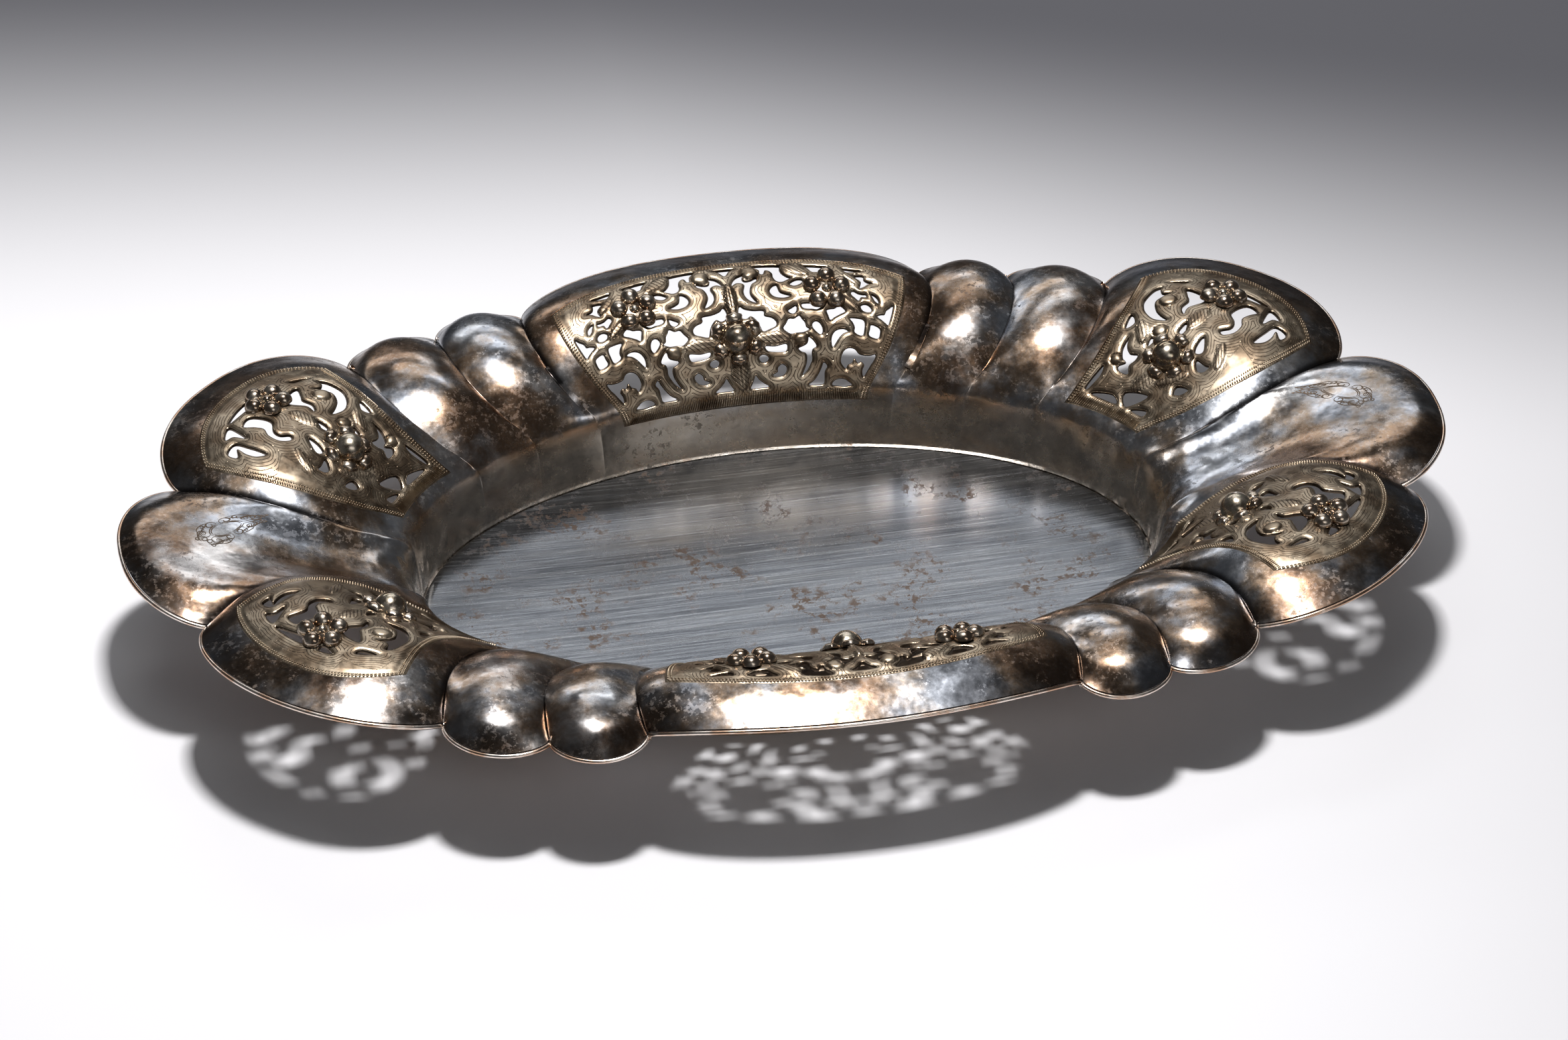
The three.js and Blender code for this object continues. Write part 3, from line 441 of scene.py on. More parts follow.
# Openings of a long panel: those on its axis, then those of its right half
SIDE_AXIS_OPENINGS = [
    [(-2.8, 37.8), (2.8, 37.8), (1.3, 36.6), (0, 34.9), (-1.3, 36.6)],
]
SIDE_OPENINGS = [
    [(1.2, 31.3), (1.6, 32.7), (2.8, 34.1), (4.6, 34.8), (4, 33.5), (4.6, 32.5), (6.1, 32.6), (7.6, 33.3),
     (7.4, 32.1), (6.2, 31.3), (5.4, 29.8), (5.2, 28.2), (5.7, 26.8), (6.4, 25.3), (4.7, 26.2), (3.8, 27.8),
     (3.8, 29.4), (4.3, 30.9), (3.8, 31.7), (2.4, 32)],
    [(7.6, 38.4), (14.2, 37.8), (14, 36.2), (14.2, 34.6), (15.2, 33.2), (16.1, 32.6), (14.8, 31.8),
     (13.6, 31.3), (12.4, 31.6), (11.8, 32.9), (11.9, 34.3), (11.3, 35.5), (10.3, 35.8), (9.6, 34.4),
     (8.8, 34.7), (8.9, 36.1)],
    [(12, 30.5), (10.9, 30), (10.1, 28.7), (10.3, 27.5), (11.3, 26.6), (13.2, 26.3), (15, 26.9),
     (13.6, 27.5), (12.5, 28.2), (12.2, 29.3)],
    [(15.3, 30.5), (16.2, 31.4), (17.5, 32), (18.7, 31.9), (18.5, 31), (17.6, 30.3), (16.3, 29.9)],
    [(20.3, 37.4), (26.4, 36.9), (25, 35.4), (23.6, 34.7), (21.8, 34.7), (21.2, 35.9)],
    [(29.8, 36.5), (32.6, 36.6), (35.4, 36.8), (33.2, 35.9), (31.6, 35.5), (30.4, 35.3)],
    [(32, 34.1), (34.5, 34.9), (34.3, 33.8), (35, 33.1), (36.6, 33.1), (34.9, 32.3), (33.9, 31.4),
     (32.4, 30.4), (33, 31.6), (33.3, 32.8)],
    [(30.6, 29.4), (31.8, 28.9), (33, 28.9), (33.8, 29.1), (33.6, 28.2), (32.2, 27.8), (31.5, 26.7),
     (30.7, 27.3), (29.9, 28.3)],
    [(35, 29.4), (36, 29.2), (36.6, 28.4), (36.5, 27.3), (35.7, 27.7), (35.4, 28.4)],
    [(31.7, 25.2), (32.6, 26), (33.7, 26.1), (34.4, 25.4), (34.2, 24.5), (33.1, 24), (32, 24.2)],
    [(40.4, 28.4), (39.4, 27.3), (38.4, 26.3), (37.8, 25.1), (36.9, 24.7), (35.6, 23.8), (36.7, 23.4),
     (37.8, 23), (38.5, 22.8), (39.1, 24.3), (39.8, 26.3)],
    [(17, 24.1), (17.8, 24.6), (21.4, 24.5), (21.9, 23.8), (20.6, 22.8), (19.4, 22.9), (18.2, 22.9),
     (17.2, 23.2)],
    [(22.9, 22.7), (23.8, 23.2), (25, 23.5), (26.4, 24.4), (27.6, 23.1), (26, 21.9), (24.5, 20.9),
     (23.5, 20.1), (23.1, 21.4)],
    [(13.5, 22.5), (14.6, 23.3), (15.7, 23.9), (15.5, 22.4), (14.8, 21.6), (14, 21.7)],
    [(2, 24.8), (3, 23.9), (5, 23.2), (7.5, 22.9), (7.6, 21.5), (9.3, 20.8), (10.2, 19.6), (9.9, 18.4),
     (8.4, 17.7), (6.7, 17.2), (6.2, 18.6), (5.6, 20.2), (4.3, 21.6), (3.2, 21), (2.1, 21.3), (1.4, 22.6)],
    [(11.7, 17.8), (12.6, 19.1), (13.4, 20.3), (14.7, 20.3), (16, 21.1), (16.5, 20.2), (17.1, 19.3),
     (17.3, 18), (18, 17.4), (16.6, 16.6), (14.8, 16.4), (13.4, 16.1), (12.2, 16.9)],
    [(18.8, 18), (19.1, 19.1), (19.9, 19.6), (20.7, 19.2), (21.2, 18.1), (21.2, 16.9), (20.6, 16),
     (19.6, 16.8)],
    [(23.4, 13), (23.2, 14.5), (23.5, 15.9), (24.4, 17.3), (25.6, 18), (26.8, 18.2), (27.7, 17.8),
     (26.4, 17), (25.2, 15.7), (24.3, 14.3)],
    [(28.4, 21.4), (30.6, 21.8), (31.9, 21.8), (32.2, 21), (32, 19.6), (31.5, 17.8), (30.4, 17.5),
     (29.3, 18), (29.5, 19.2), (29.1, 20.4)],
    [(34, 21.2), (36, 21.1), (36.2, 20.1), (35.5, 18.3), (33.2, 18.2), (33.5, 19.9)],
    [(25.4, 9.4), (25.6, 11), (26.4, 12.6), (27.7, 13.5), (29.2, 13.5), (30.2, 12.6), (31.9, 12.7),
     (33.5, 13.3), (35, 14.2), (34.5, 12.4), (33.5, 10.6), (32.5, 8.4), (31.6, 6.8), (31.3, 8.6),
     (31.8, 10.2), (30.9, 10.8), (29.9, 10.2), (29, 11.2), (28.3, 9.8), (27.2, 9), (26.7, 7.9), (26, 8.4)],
    [(22.9, 2.7), (23.6, 4), (25, 4.7), (26.4, 4.7), (27.4, 4.1), (28.2, 3.3), (26.4, 2.5), (24.6, 2.4)],
    [(20.9, 8.7), (21.8, 7.9), (21.1, 6.4), (21, 4.6), (20.7, 2.9), (19, 2.5), (16.9, 2.5), (18.3, 3.8),
     (19.5, 5.6), (20.3, 7.3)],
    [(17.6, 15.3), (18.7, 14.3), (19.3, 12.9), (18.3, 12.1), (18, 10.9), (18, 9.4), (17.3, 7.7),
     (16.4, 6.2), (15.2, 5), (16, 6.8), (16.6, 8.4), (16.8, 10), (16.5, 11), (15.5, 11.4), (14.8, 12.2),
     (15.8, 12.7), (17, 13.4), (17.4, 14.4)],
    [(6.8, 13.2), (9.2, 13), (11.8, 13.5), (12.1, 12.6), (11.6, 11.5), (10, 11.4), (8.4, 11.6), (7.2, 12)],
    [(5, 10.4), (5.9, 11), (7, 10.6), (7.3, 9.8), (6.4, 9), (5.3, 9.3)],
    [(10.4, 8.2), (11.5, 7.5), (11.3, 6.2), (10.2, 5.2), (8.7, 5.1), (8, 5.6), (9.2, 6.3), (9.4, 7.4)],
    [(3.7, 5.9), (4.4, 4.8), (5.6, 3.6), (6.8, 2.5), (4.6, 2.4), (2.2, 2.4), (2.6, 3.6), (3.2, 4.9)],
]
# Openings of a corner panel, x towards the end of the dish
CORNER_OPENINGS = [
    [(-13, 40.5), (-12.75, 36.8), (-12, 33.8), (-10.2, 31.2), (-8, 29.6), (-5.5, 29), (-2.5, 30),
     (-5.2, 30.8), (-7.6, 32.2), (-9.4, 35), (-9, 38), (-8, 40), (-10, 39.2), (-11.4, 40.4), (-12, 42.2)],
    [(-5.5, 43.3), (-1, 42.8), (1.5, 40.3), (-0.5, 36.3), (0, 33.8), (-2, 35.8), (-2, 38.8), (-3.5, 40.5)],
    [(-12, 45.3), (-8, 47.5), (-8, 45.8)],
    [(-3, 50), (0.75, 50.6), (0.75, 48.6)],
    [(6, 50.8), (16, 50.6), (8, 48.6)],
    [(10.3, 40.8), (11.5, 46.3), (15.5, 46.3), (14.5, 43.3), (14, 40.8), (15.5, 38.8), (15.5, 35.8),
     (13.5, 33.3), (12, 34), (13.75, 36.3), (13.3, 38.5)],
    [(17.5, 50.2), (21.8, 49.8), (20, 47.8), (19.3, 44.3), (18, 47)],
    [(26, 48.6), (26, 45.8), (23.5, 46), (24, 43.3), (23.5, 40.3), (21.5, 37.8), (21.8, 42.8), (22.4, 47)],
    [(-12, 28), (-9.5, 25.8), (-10.6, 23.3)],
    [(-8, 21.3), (-7, 18.8), (-5, 17), (-2.8, 17.5), (-2.5, 15.8), (-3, 13.8), (-1.8, 11.5), (-4, 11.3),
     (-5.5, 12.5), (-4.3, 14.3), (-6, 15.3), (-7.5, 17.8)],
    [(9.5, 29.8), (12, 26.8), (12, 25.3), (10.5, 24.8), (9.5, 26.8)],
    [(12.3, 23.3), (15, 23.3), (16.5, 23.8), (16, 21.8), (14.5, 21), (13, 22)],
    [(2.5, 31.3), (3.8, 29.8), (3.8, 27.8), (2.5, 28.3)],
    [(-2.8, 23.3), (-1.5, 23), (-2, 20.8)],
    [(12.2, 14.4), (15.4, 15.6), (14.6, 13.3), (12.8, 12.3)],
    [(-9, 10.8), (-8, 8.3), (-8.6, 3.4), (-9.4, 4.4)],
    [(-7, 2.6), (-2, 4.4), (0.5, 2.4)],
    [(0.8, 6.3), (7, 8.3), (3.6, 2.8)],
    [(5.4, 2.6), (9.5, 4.4), (9.4, 2.6)],
]
# Rounded ends of the scrolls: place and radius
SIDE_BALLS = [(6.2, 34.9, 2.1), (16, 14.4, 2.0)]
CORNER_BALLS = [(-6.6, 36.4, 2.2), (-1.8, 26, 1.7), (-6.8, 14, 1.5)]
# Leaves of the long panel's right half and of a corner panel: from, to, half width
SIDE_LEAVES = [((0, 30), (0, 21.5), 1.5), ((0, 9.6), (0, 2.4), 2.3), ((6.4, 15.2), (13.2, 15.3), 1.7),
               ((14.6, 36.8), (20.5, 33.2), 1.7), ((27, 26.5), (31.4, 23.4), 1.2),
               ((29.8, 33.6), (33.2, 31), 1.3)]
CORNER_LEAVES = [((4, 31), (5, 38), 2.0), ((3, 8.6), (4.6, 14.8), 2.2), ((16.2, 30), (19, 24.4), 1.5),
                 ((-7.4, 26), (-3.6, 21), 1.5), ((8, 13), (12.6, 19), 1.6)]
# Measures of the openwork in mm
CELL = 0.36  # grid of the drawing
JOINT = 0.03  # left open round a panel, where its solder line runs
NEAR = 4.0  # distances to an opening are worked out within this
FAR = 9.0  # and are kept below this
CUT_BAND = 1.2  # triangles further outside the metal are dropped before the rest are cut
ROUNDING = 0.3  # how far a sawn edge is rounded down
RIDGE_RISE, LEAF_RISE, BALL_RISE = 0.18, 0.45, 0.55
CONTOUR = 0.8  # pitch of the engraved lines that follow a sawn edge
BEAD_ROWS = [(0.62, 0.36, 0.42, 0.8), (1.34, 0.32, 0.34, 0.8)]  # inset, radius, height, pitch
BEAD_SUNK = 0.05
BEAD_START = -FOOT_STRIP + 0.4  # height in the drawing where the lines of beads begin
FRINGE_TOP, FRINGE_PITCH, FRINGE_RISE, FRINGE_SUNK = 2.0, 0.58, 0.42, 0.06
FRINGE_INSET = 1.6  # from the panel's sides
SLANT, INSET_SLANT = 0.93, 1.07  # square distance to a slanting side over that along x, and back


def smooth_outline(points, steps=5):
    """Closed Catmull-Rom curve through the points."""
    p = np.asarray(points, float)
    t = np.arange(steps)[:, None] / steps
    out = []
    for i in range(len(p)):
        a, b, c, d = p[i - 1], p[i], p[(i + 1) % len(p)], p[(i + 2) % len(p)]
        out.append(b + 0.5 * t * (c - a + t * (2 * a - 5 * b + 4 * c - d + t * (3 * (b - c) + d - a))))
    return np.concatenate(out)


def distance_to(outline, x, y):
    """Distance from points to a closed outline, negative inside it."""
    best = np.full(x.shape, 1e9)
    inside = np.zeros(x.shape, bool)
    for (ax, ay), (bx, by) in zip(outline, np.roll(outline, -1, axis=0)):
        dx, dy = bx - ax, by - ay
        t = np.clip(((x - ax) * dx + (y - ay) * dy) / max(dx * dx + dy * dy, 1e-12), 0, 1)
        best = np.minimum(best, np.hypot(x - ax - t * dx, y - ay - t * dy))
        crosses = (ay > y) != (by > y)
        with np.errstate(divide="ignore", invalid="ignore"):
            at = ax + (y - ay) * dx / dy
        inside ^= crosses & (x < at)
    return np.where(inside, -best, best)


class Drawing:
    """One flat openwork pattern and its place on a lobe."""

    def __init__(self, lobe):
        self.lobe = lobe
        self.kind = lobe["kind"]
        bottom, top = WINDOWS[self.kind][:2]
        self.at = np.linspace(bottom, 1, 401)
        middle = (window_side(lobe, 0, self.at) + window_side(lobe, 1, self.at)) / 2
        p = surface(lobe, middle, self.at)
        self.lengths = np.concatenate([[0], np.cumsum(np.linalg.norm(np.diff(p, axis=0), axis=1))])
        self.height = float(np.interp(top, self.at, self.lengths))
        self.left, self.right, self.rise = DRAWINGS[self.kind]

    def share(self, x, y):
        a, b = self.left(y), self.right(y)
        return 2 * (x - a) / (b - a) - 1

    def climb(self, share, y):
        """How far a row of the drawing climbs towards its sides."""
        t = np.clip((y + FOOT_STRIP) / self.height, 0, 1)
        low, high = self.rise
        return np.where(share < 0, low, high) * np.abs(share) ** 3.5 * 4 * t * (1 - t)

    def top(self, share):
        """Height in the drawing where it meets the upper edge of its window."""
        end = np.interp(window_top(self.lobe, share), self.at, self.lengths) - FOOT_STRIP
        y = end
        for _ in range(12):
            y = end - self.climb(share, y)
        return y

    def to_uv(self, x, y):
        share = np.clip(self.share(x, y), -1.02, 1.02)
        v = np.interp(y + FOOT_STRIP + self.climb(share, y), self.lengths, self.at)
        a, b = window_side(self.lobe, 0, v), window_side(self.lobe, 1, v)
        return a + (b - a) * (share * self.lobe["hand"] + 1) / 2, v

    def lay(self, x, y, z):
        """Points of the drawing laid over the lobe, z above the sheet's upper face."""
        u, v = self.to_uv(x, y)
        return surface(self.lobe, u, v) + surface_normal(self.lobe, u, v) * np.asarray(z)[..., None]

    def edge_distance(self, x, y):
        """Distance to the panel's outline, positive inside."""
        share = self.share(x, y)
        d = np.minimum(x - self.left(y), self.right(y) - x) * SLANT
        d = np.minimum(d, y + FOOT_STRIP)
        return np.minimum(d, self.top(share) - y)


def mirror_points(points):
    return [(-x, y, *rest) for x, y, *rest in points]


def drawing_parts(kind):
    """Openings, balls and leaves of a whole panel."""
    if kind == "corner":
        return CORNER_OPENINGS, CORNER_BALLS, CORNER_LEAVES
    openings = SIDE_AXIS_OPENINGS + SIDE_OPENINGS + [mirror_points(o) for o in SIDE_OPENINGS]
    balls = SIDE_BALLS + mirror_points(SIDE_BALLS)
    leaves = SIDE_LEAVES + [((-a[0], a[1]), (-b[0], b[1]), w) for a, b, w in SIDE_LEAVES]
    return openings, balls, leaves


def leaf_field(x, y, leaf):
    """0 outside a leaf to 1 on its spine, and the place across it."""
    (ax, ay), (bx, by), width = leaf
    length = math.hypot(bx - ax, by - ay)
    dx, dy = (bx - ax) / length, (by - ay) / length
    along = ((x - ax) * dx + (y - ay) * dy) / length
    across = -(x - ax) * dy + (y - ay) * dx
    # widest at two fifths of the way, pointed at its end
    half = width * np.sqrt(np.clip(1 - (2 * along - 0.8) ** 2 / 1.44, 0, 1))
    return np.clip(1 - np.abs(across) / np.maximum(half, 1e-3), 0, 1) * (half > 0.05), across


def clip_triangles(points, field, triangles):
    """Cuts a triangle mesh where the field is zero and keeps the positive side."""
    inside = field > 0
    count = inside[triangles].sum(1)
    mixed = triangles[(count == 1) | (count == 2)]
    state = inside[mixed]
    lone = np.where(state.sum(1) == 1, state.argmax(1), (~state).argmax(1))
    order = (lone[:, None] + np.arange(3)) % 3
    mixed = np.take_along_axis(mixed, order, 1)
    first_in = inside[mixed[:, 0]]
    ends = np.concatenate([mixed[:, [0, 1]], mixed[:, [0, 2]]])
    keys, back = np.unique(np.sort(ends, axis=1), axis=0, return_inverse=True)
    back = back.ravel()
    a, b = keys[:, 0], keys[:, 1]
    t = (field[a] / (field[a] - field[b]))[:, None]
    cut = points[a] + (points[b] - points[a]) * t
    start = len(points)
    ab, ac = start + back[:len(mixed)], start + back[len(mixed):]
    v0, v1, v2 = mixed.T
    out = [triangles[count == 3],
           np.stack([v0, ab, ac], 1)[first_in],
           np.stack([ab, v1, v2], 1)[~first_in],
           np.stack([ab, v2, ac], 1)[~first_in]]
    out = np.concatenate(out)
    merged = np.concatenate([points, cut])
    used = np.unique(out)
    number = np.full(len(merged), -1)
    number[used] = np.arange(len(used))
    return merged[used], number[out]


def beads(drawing, rows):
    """Small raised beads along the panel's three upper sides, as (points, faces)."""
    sides, rings = 6, 2
    angle = 2 * math.pi * np.arange(sides) / sides
    shape = [(0.0, 0.0, 1.0)]
    for r in range(1, rings + 1):
        t = math.pi / 2 * r / rings
        shape += [(math.sin(t) * math.cos(q), math.sin(t) * math.sin(q), math.cos(t)) for q in angle]
    shape = np.array(shape)
    shape_faces = ring_faces(sides, rings)
    points, faces = [], []
    base = 0
    for inset, size, height, pitch in rows:
        line = border_line(drawing, inset)
        step = np.linalg.norm(np.diff(line, axis=0), axis=1)
        length = np.concatenate([[0], np.cumsum(step)])
        at = np.arange(pitch / 2, length[-1], pitch)
        cx, cy = np.interp(at, length, line[:, 0]), np.interp(at, length, line[:, 1])
        x = cx[:, None] + shape[None, :, 0] * size
        y = cy[:, None] + shape[None, :, 1] * size
        z = np.broadcast_to(shape[None, :, 2] * height - BEAD_SUNK, x.shape)
        points.append(np.stack([x, y, z], -1).reshape(-1, 3))
        for k in range(len(at)):
            faces += [tuple(base + k * len(shape) + i for i in f) for f in shape_faces]
        base += len(at) * len(shape)
    return np.concatenate(points), faces


def border_line(drawing, inset):
    """Line at a distance inside the panel's left, top and right sides."""
    top_y = float(drawing.top(np.array(-1.0)))
    y = np.linspace(BEAD_START, top_y - inset, 60)
    left = np.stack([drawing.left(y) + inset * INSET_SLANT, y], 1)
    share = np.linspace(-1, 1, 90)
    ty = drawing.top(share) - inset
    tx = drawing.left(ty) + (drawing.right(ty) - drawing.left(ty)) * (share + 1) / 2
    tx = np.clip(tx, drawing.left(ty) + inset * INSET_SLANT, drawing.right(ty) - inset * INSET_SLANT)
    y = np.linspace(float(ty[-1]), BEAD_START, 60)
    right = np.stack([drawing.right(y) - inset * INSET_SLANT, y], 1)
    return np.concatenate([left, np.stack([tx, ty], 1)[1:-1], right])


def fringe(drawing, low, high, pitch):
    """Short raised strokes across the panel's foot."""
    xs = np.arange(drawing.left(low) + FRINGE_INSET, drawing.right(low) - FRINGE_INSET, pitch)
    points, faces = [], []
    rows = np.linspace(0, 1, 5)
    half = pitch * 0.36
    rng = np.random.default_rng(5)
    for k, x in enumerate(xs):
        tilt = 0.25 + 0.25 * rng.random()
        top = high - 0.5 * rng.random()
        for t in rows:
            y = low + (top - low) * t
            cx = x + tilt * (t - 0.5)
            bell = 0.55 + 0.45 * math.sin(math.pi * min(max(t, 0.06), 0.94))
            points += [(cx - half, y, -FRINGE_SUNK), (cx, y, FRINGE_RISE * bell),
                       (cx + half, y, -FRINGE_SUNK)]
        base = k * len(rows) * 3
        for j in range(len(rows) - 1):
            a = base + j * 3
            faces += [(a, a + 1, a + 4, a + 3), (a + 1, a + 2, a + 5, a + 4)]
    return np.array(points), faces


def drawing_grid(drawing):
    """Points and triangles that cover a drawing."""
    low_x = float(min(drawing.left(-FOOT_STRIP), drawing.left(drawing.height))) - 1
    high_x = float(max(drawing.right(-FOOT_STRIP), drawing.right(drawing.height))) + 1
    xs = np.arange(low_x, high_x, CELL)
    ys = np.arange(-FOOT_STRIP - CELL, drawing.height - FOOT_STRIP + CELL * 2, CELL)
    gx, gy = np.meshgrid(xs, ys)
    nx, ny = len(xs), len(ys)
    # every other row is offset, so that slanted edges come out even
    gx = gx + (np.arange(ny) % 2)[:, None] * CELL / 2
    number = np.arange(nx * ny).reshape(ny, nx)
    a, b, c, d = number[:-1, :-1], number[:-1, 1:], number[1:, 1:], number[1:, :-1]
    odd = (np.arange(ny - 1) % 2)[:, None, None] > 0
    first = np.where(odd, np.stack([a, b, c], -1), np.stack([a, b, d], -1))
    second = np.where(odd, np.stack([a, c, d], -1), np.stack([b, c, d], -1))
    return gx.ravel(), gy.ravel(), np.concatenate([first.reshape(-1, 3), second.reshape(-1, 3)])


def distance_to_openings(openings, x, y):
    """Distance to the nearest opening, negative inside it, and a huge number far from all."""
    field = np.full(x.shape, 1e9)
    for opening in openings:
        curve = smooth_outline(opening)
        near = ((x > curve[:, 0].min() - NEAR) & (x < curve[:, 0].max() + NEAR)
                & (y > curve[:, 1].min() - NEAR) & (y < curve[:, 1].max() + NEAR))
        field[near] = np.minimum(field[near], distance_to(curve, x[near], y[near]))
    return field


def chased_relief(x, y, edge, border, balls, leaves):
    """Height of the chased face over the sheet, and where it is leaf or ball."""
    relief = -ROUNDING * np.clip(1 - edge / 0.5, 0, 1) ** 2
    relief -= ROUNDING / 2 * np.clip(1 - border / 0.4, 0, 1) ** 2
    # a low ridge runs along each strap, between the engraved lines of its two edges
    relief += RIDGE_RISE * np.clip((edge - 0.5) / 0.7, 0, 1) * np.clip(border - 1.8, 0, 1)
    leafy = np.zeros(len(x))
    for leaf in leaves:
        bump, across = leaf_field(x, y, leaf)
        raised = np.sqrt(bump)
        relief += LEAF_RISE * raised - 0.12 * raised * (np.abs(across) < 0.22)
        leafy = np.maximum(leafy, raised)
    domed = np.zeros(len(x))
    for bx, by, radius in balls:
        r = np.hypot(x - bx, y - by) / radius
        relief += BALL_RISE * np.sqrt(np.clip(1 - r * r, 0, 1)) - 0.25 * np.exp(-((r - 1.1) / 0.1) ** 2)
        domed = np.maximum(domed, (r < 1.0) * 1.0)
    return relief, leafy, domed


def make_panel(lobe):
    """Openwork panel: its drawing cut out, chased, given thickness and laid over its lobe."""
    drawing = Drawing(lobe)
    openings, balls, leaves = drawing_parts(drawing.kind)
    x, y, triangles = drawing_grid(drawing)
    field = distance_to_openings(openings, x, y)
    border = drawing.edge_distance(x, y) - JOINT
    flat = np.stack([x, y, np.clip(field, -FAR, FAR), np.clip(border, -FAR, FAR)], 1)
    keep = (np.minimum(field, border)[triangles] > -CUT_BAND).all(1)
    flat, triangles = clip_triangles(flat, np.minimum(flat[:, 2], flat[:, 3]), triangles[keep])
    x, y, edge, border = flat.T
    edge, border = np.maximum(edge, 0), np.maximum(border, 0)
    relief, leafy, domed = chased_relief(x, y, edge, border, balls, leaves)
    count = len(x)
    points = [drawing.lay(x, y, relief), drawing.lay(x, y, np.full(count, -SHEET))]
    edges = np.concatenate([triangles[:, [0, 1]], triangles[:, [1, 2]], triangles[:, [2, 0]]])
    _, back, times = np.unique(np.sort(edges, axis=1), axis=0, return_inverse=True, return_counts=True)
    rim = edges[times[back.ravel()] == 1]
    faces = triangles.tolist() + (triangles[:, ::-1] + count).tolist()
    faces += np.stack([rim[:, 1], rim[:, 0], rim[:, 0] + count, rim[:, 1] + count], 1).tolist()
    # place on the drawing, distance to an edge, leaf, and smooth metal
    none = np.zeros(count)
    marks = [np.stack([x, y, none, edge, leafy, domed], 1), np.stack([x, y, none, none, none, none], 1)]
    base = 2 * count
    strips = [beads(drawing, BEAD_ROWS), fringe(drawing, -FOOT_STRIP + 0.5, FRINGE_TOP, FRINGE_PITCH)]
    for flat_points, strip_faces in strips:
        points.append(drawing.lay(flat_points[:, 0], flat_points[:, 1], flat_points[:, 2]))
        strip_marks = np.tile([0, 0, 0, 5.0, 0, 1], (len(flat_points), 1))
        strip_marks[:, :2] = flat_points[:, :2]
        marks.append(strip_marks)
        faces += [tuple(i + base for i in f) for f in strip_faces]
        base += len(flat_points)
    if lobe["hand"] < 0:
        faces = [tuple(f)[::-1] for f in faces]
    obj = new_object(f"fretwork_{lobe['name']}", np.concatenate(points), faces, sharp=48)
    marks = np.concatenate(marks)
    for name, column in (("edge", 3), ("leaf", 4), ("smooth", 5)):
        give_attribute(obj, name, marks[:, column])
    give_attribute(obj, "drawing", marks[:, :3])
    return obj


# ---- Flower heads

# place on the drawing, and whether it is the five-petal blossom or the larger rose
SIDE_FLOWERS = [("blossom_left", -23.9, 28.6, False), ("blossom_right", 23.9, 28.6, False),
                ("rose", 0.0, 15.8, True)]
CORNER_FLOWERS = [("blossom", 4.0, 45.3, False), ("rose", 5.0, 20.3, True)]
# Domes of a rose (True) and of a blossom: how many, how far out, radius and height in mm, turn in
# steps, stretch, ripple, rings and sides of the mesh, and the mark that its material reads
FLOWER_DOMES = {
    True: [(1, 0, 4.25, 4.5, 0, 1, 0, 14, 40, 0.0), (6, 5.3, 2.3, 1.5, 0.5, 0.8, 0.08, 9, 26, 1.0)],
    False: [(1, 0, 3.6, 0.6, 0, 1, 0, 6, 30, 0.4), (1, 0, 1.45, 1.7, 0, 1, 0, 7, 20, 0.0),
            (5, 4.0, 2.42, 2.3, 0.25, 1, 0.02, 9, 26, 1.0)],
}
SUNK = 0.12  # mm that a dome's outer ring lies below its foot


def dome_patch(cx, cy, radius, height, turn, stretch, rings, sides, ripple):
    """Domed petal as (points, faces), with its outer ring sunk into the sheet."""
    points = [(cx, cy, height)]
    for r in range(1, rings + 1):
        t = math.pi / 2 * r / rings
        for k in range(sides):
            q = 2 * math.pi * k / sides
            rho = math.sin(t) * radius
            swell = 1 + ripple * math.cos(6 * q) * math.sin(t) ** 2
            a, b = rho * math.cos(q) * stretch * swell, rho * math.sin(q) * swell
            x = cx + a * math.cos(turn) - b * math.sin(turn)
            y = cy + a * math.sin(turn) + b * math.cos(turn)
            points.append((x, y, height * math.cos(t) - (SUNK if r == rings else 0)))
    return points, ring_faces(sides, rings)


def make_flower(name, lobe, x, y, rose):
    """Flower head standing square to the panel of a lobe, at a place on its drawing."""
    drawing = Drawing(lobe)
    u, v = drawing.to_uv(np.array(x), np.array(y))
    place = surface(lobe, u, v)
    normal = surface_normal(lobe, u, v)
    along = surface(lobe, u, v + PROBE) - place
    up = unit(along - normal * (along @ normal))
    side = np.cross(up, normal)
    points, faces, marks = [], [], []
    for count, out, radius, height, turned, stretch, ripple, rings, sides, mark in FLOWER_DOMES[rose]:
        for k in range(count):
            q = 2 * math.pi * (k + turned) / count
            dome, dome_faces = dome_patch(out * math.cos(q), out * math.sin(q), radius, height, q,
                                          stretch, rings, sides, ripple)
            faces += [tuple(i + len(points) for i in face) for face in dome_faces]
            points += dome
            marks += [mark] * len(dome)
    flat = np.array(points)
    world = (place + flat[:, :1] * side + flat[:, 1:2] * up + (flat[:, 2:3] + GAP) * normal)
    obj = new_object(f"petals_{name}", world, faces, sharp=60)
    give_attribute(obj, "petal", marks)
    return obj


# ---- Floor plate

DISHED = 1.3  # mm that the plate's margin stands above its middle
DISH_SHIFT = 0.3  # share of it by which the plate's middle lies below the solid's top
EDGE_DROP = 0.5  # mm that the plate's edge is rounded down


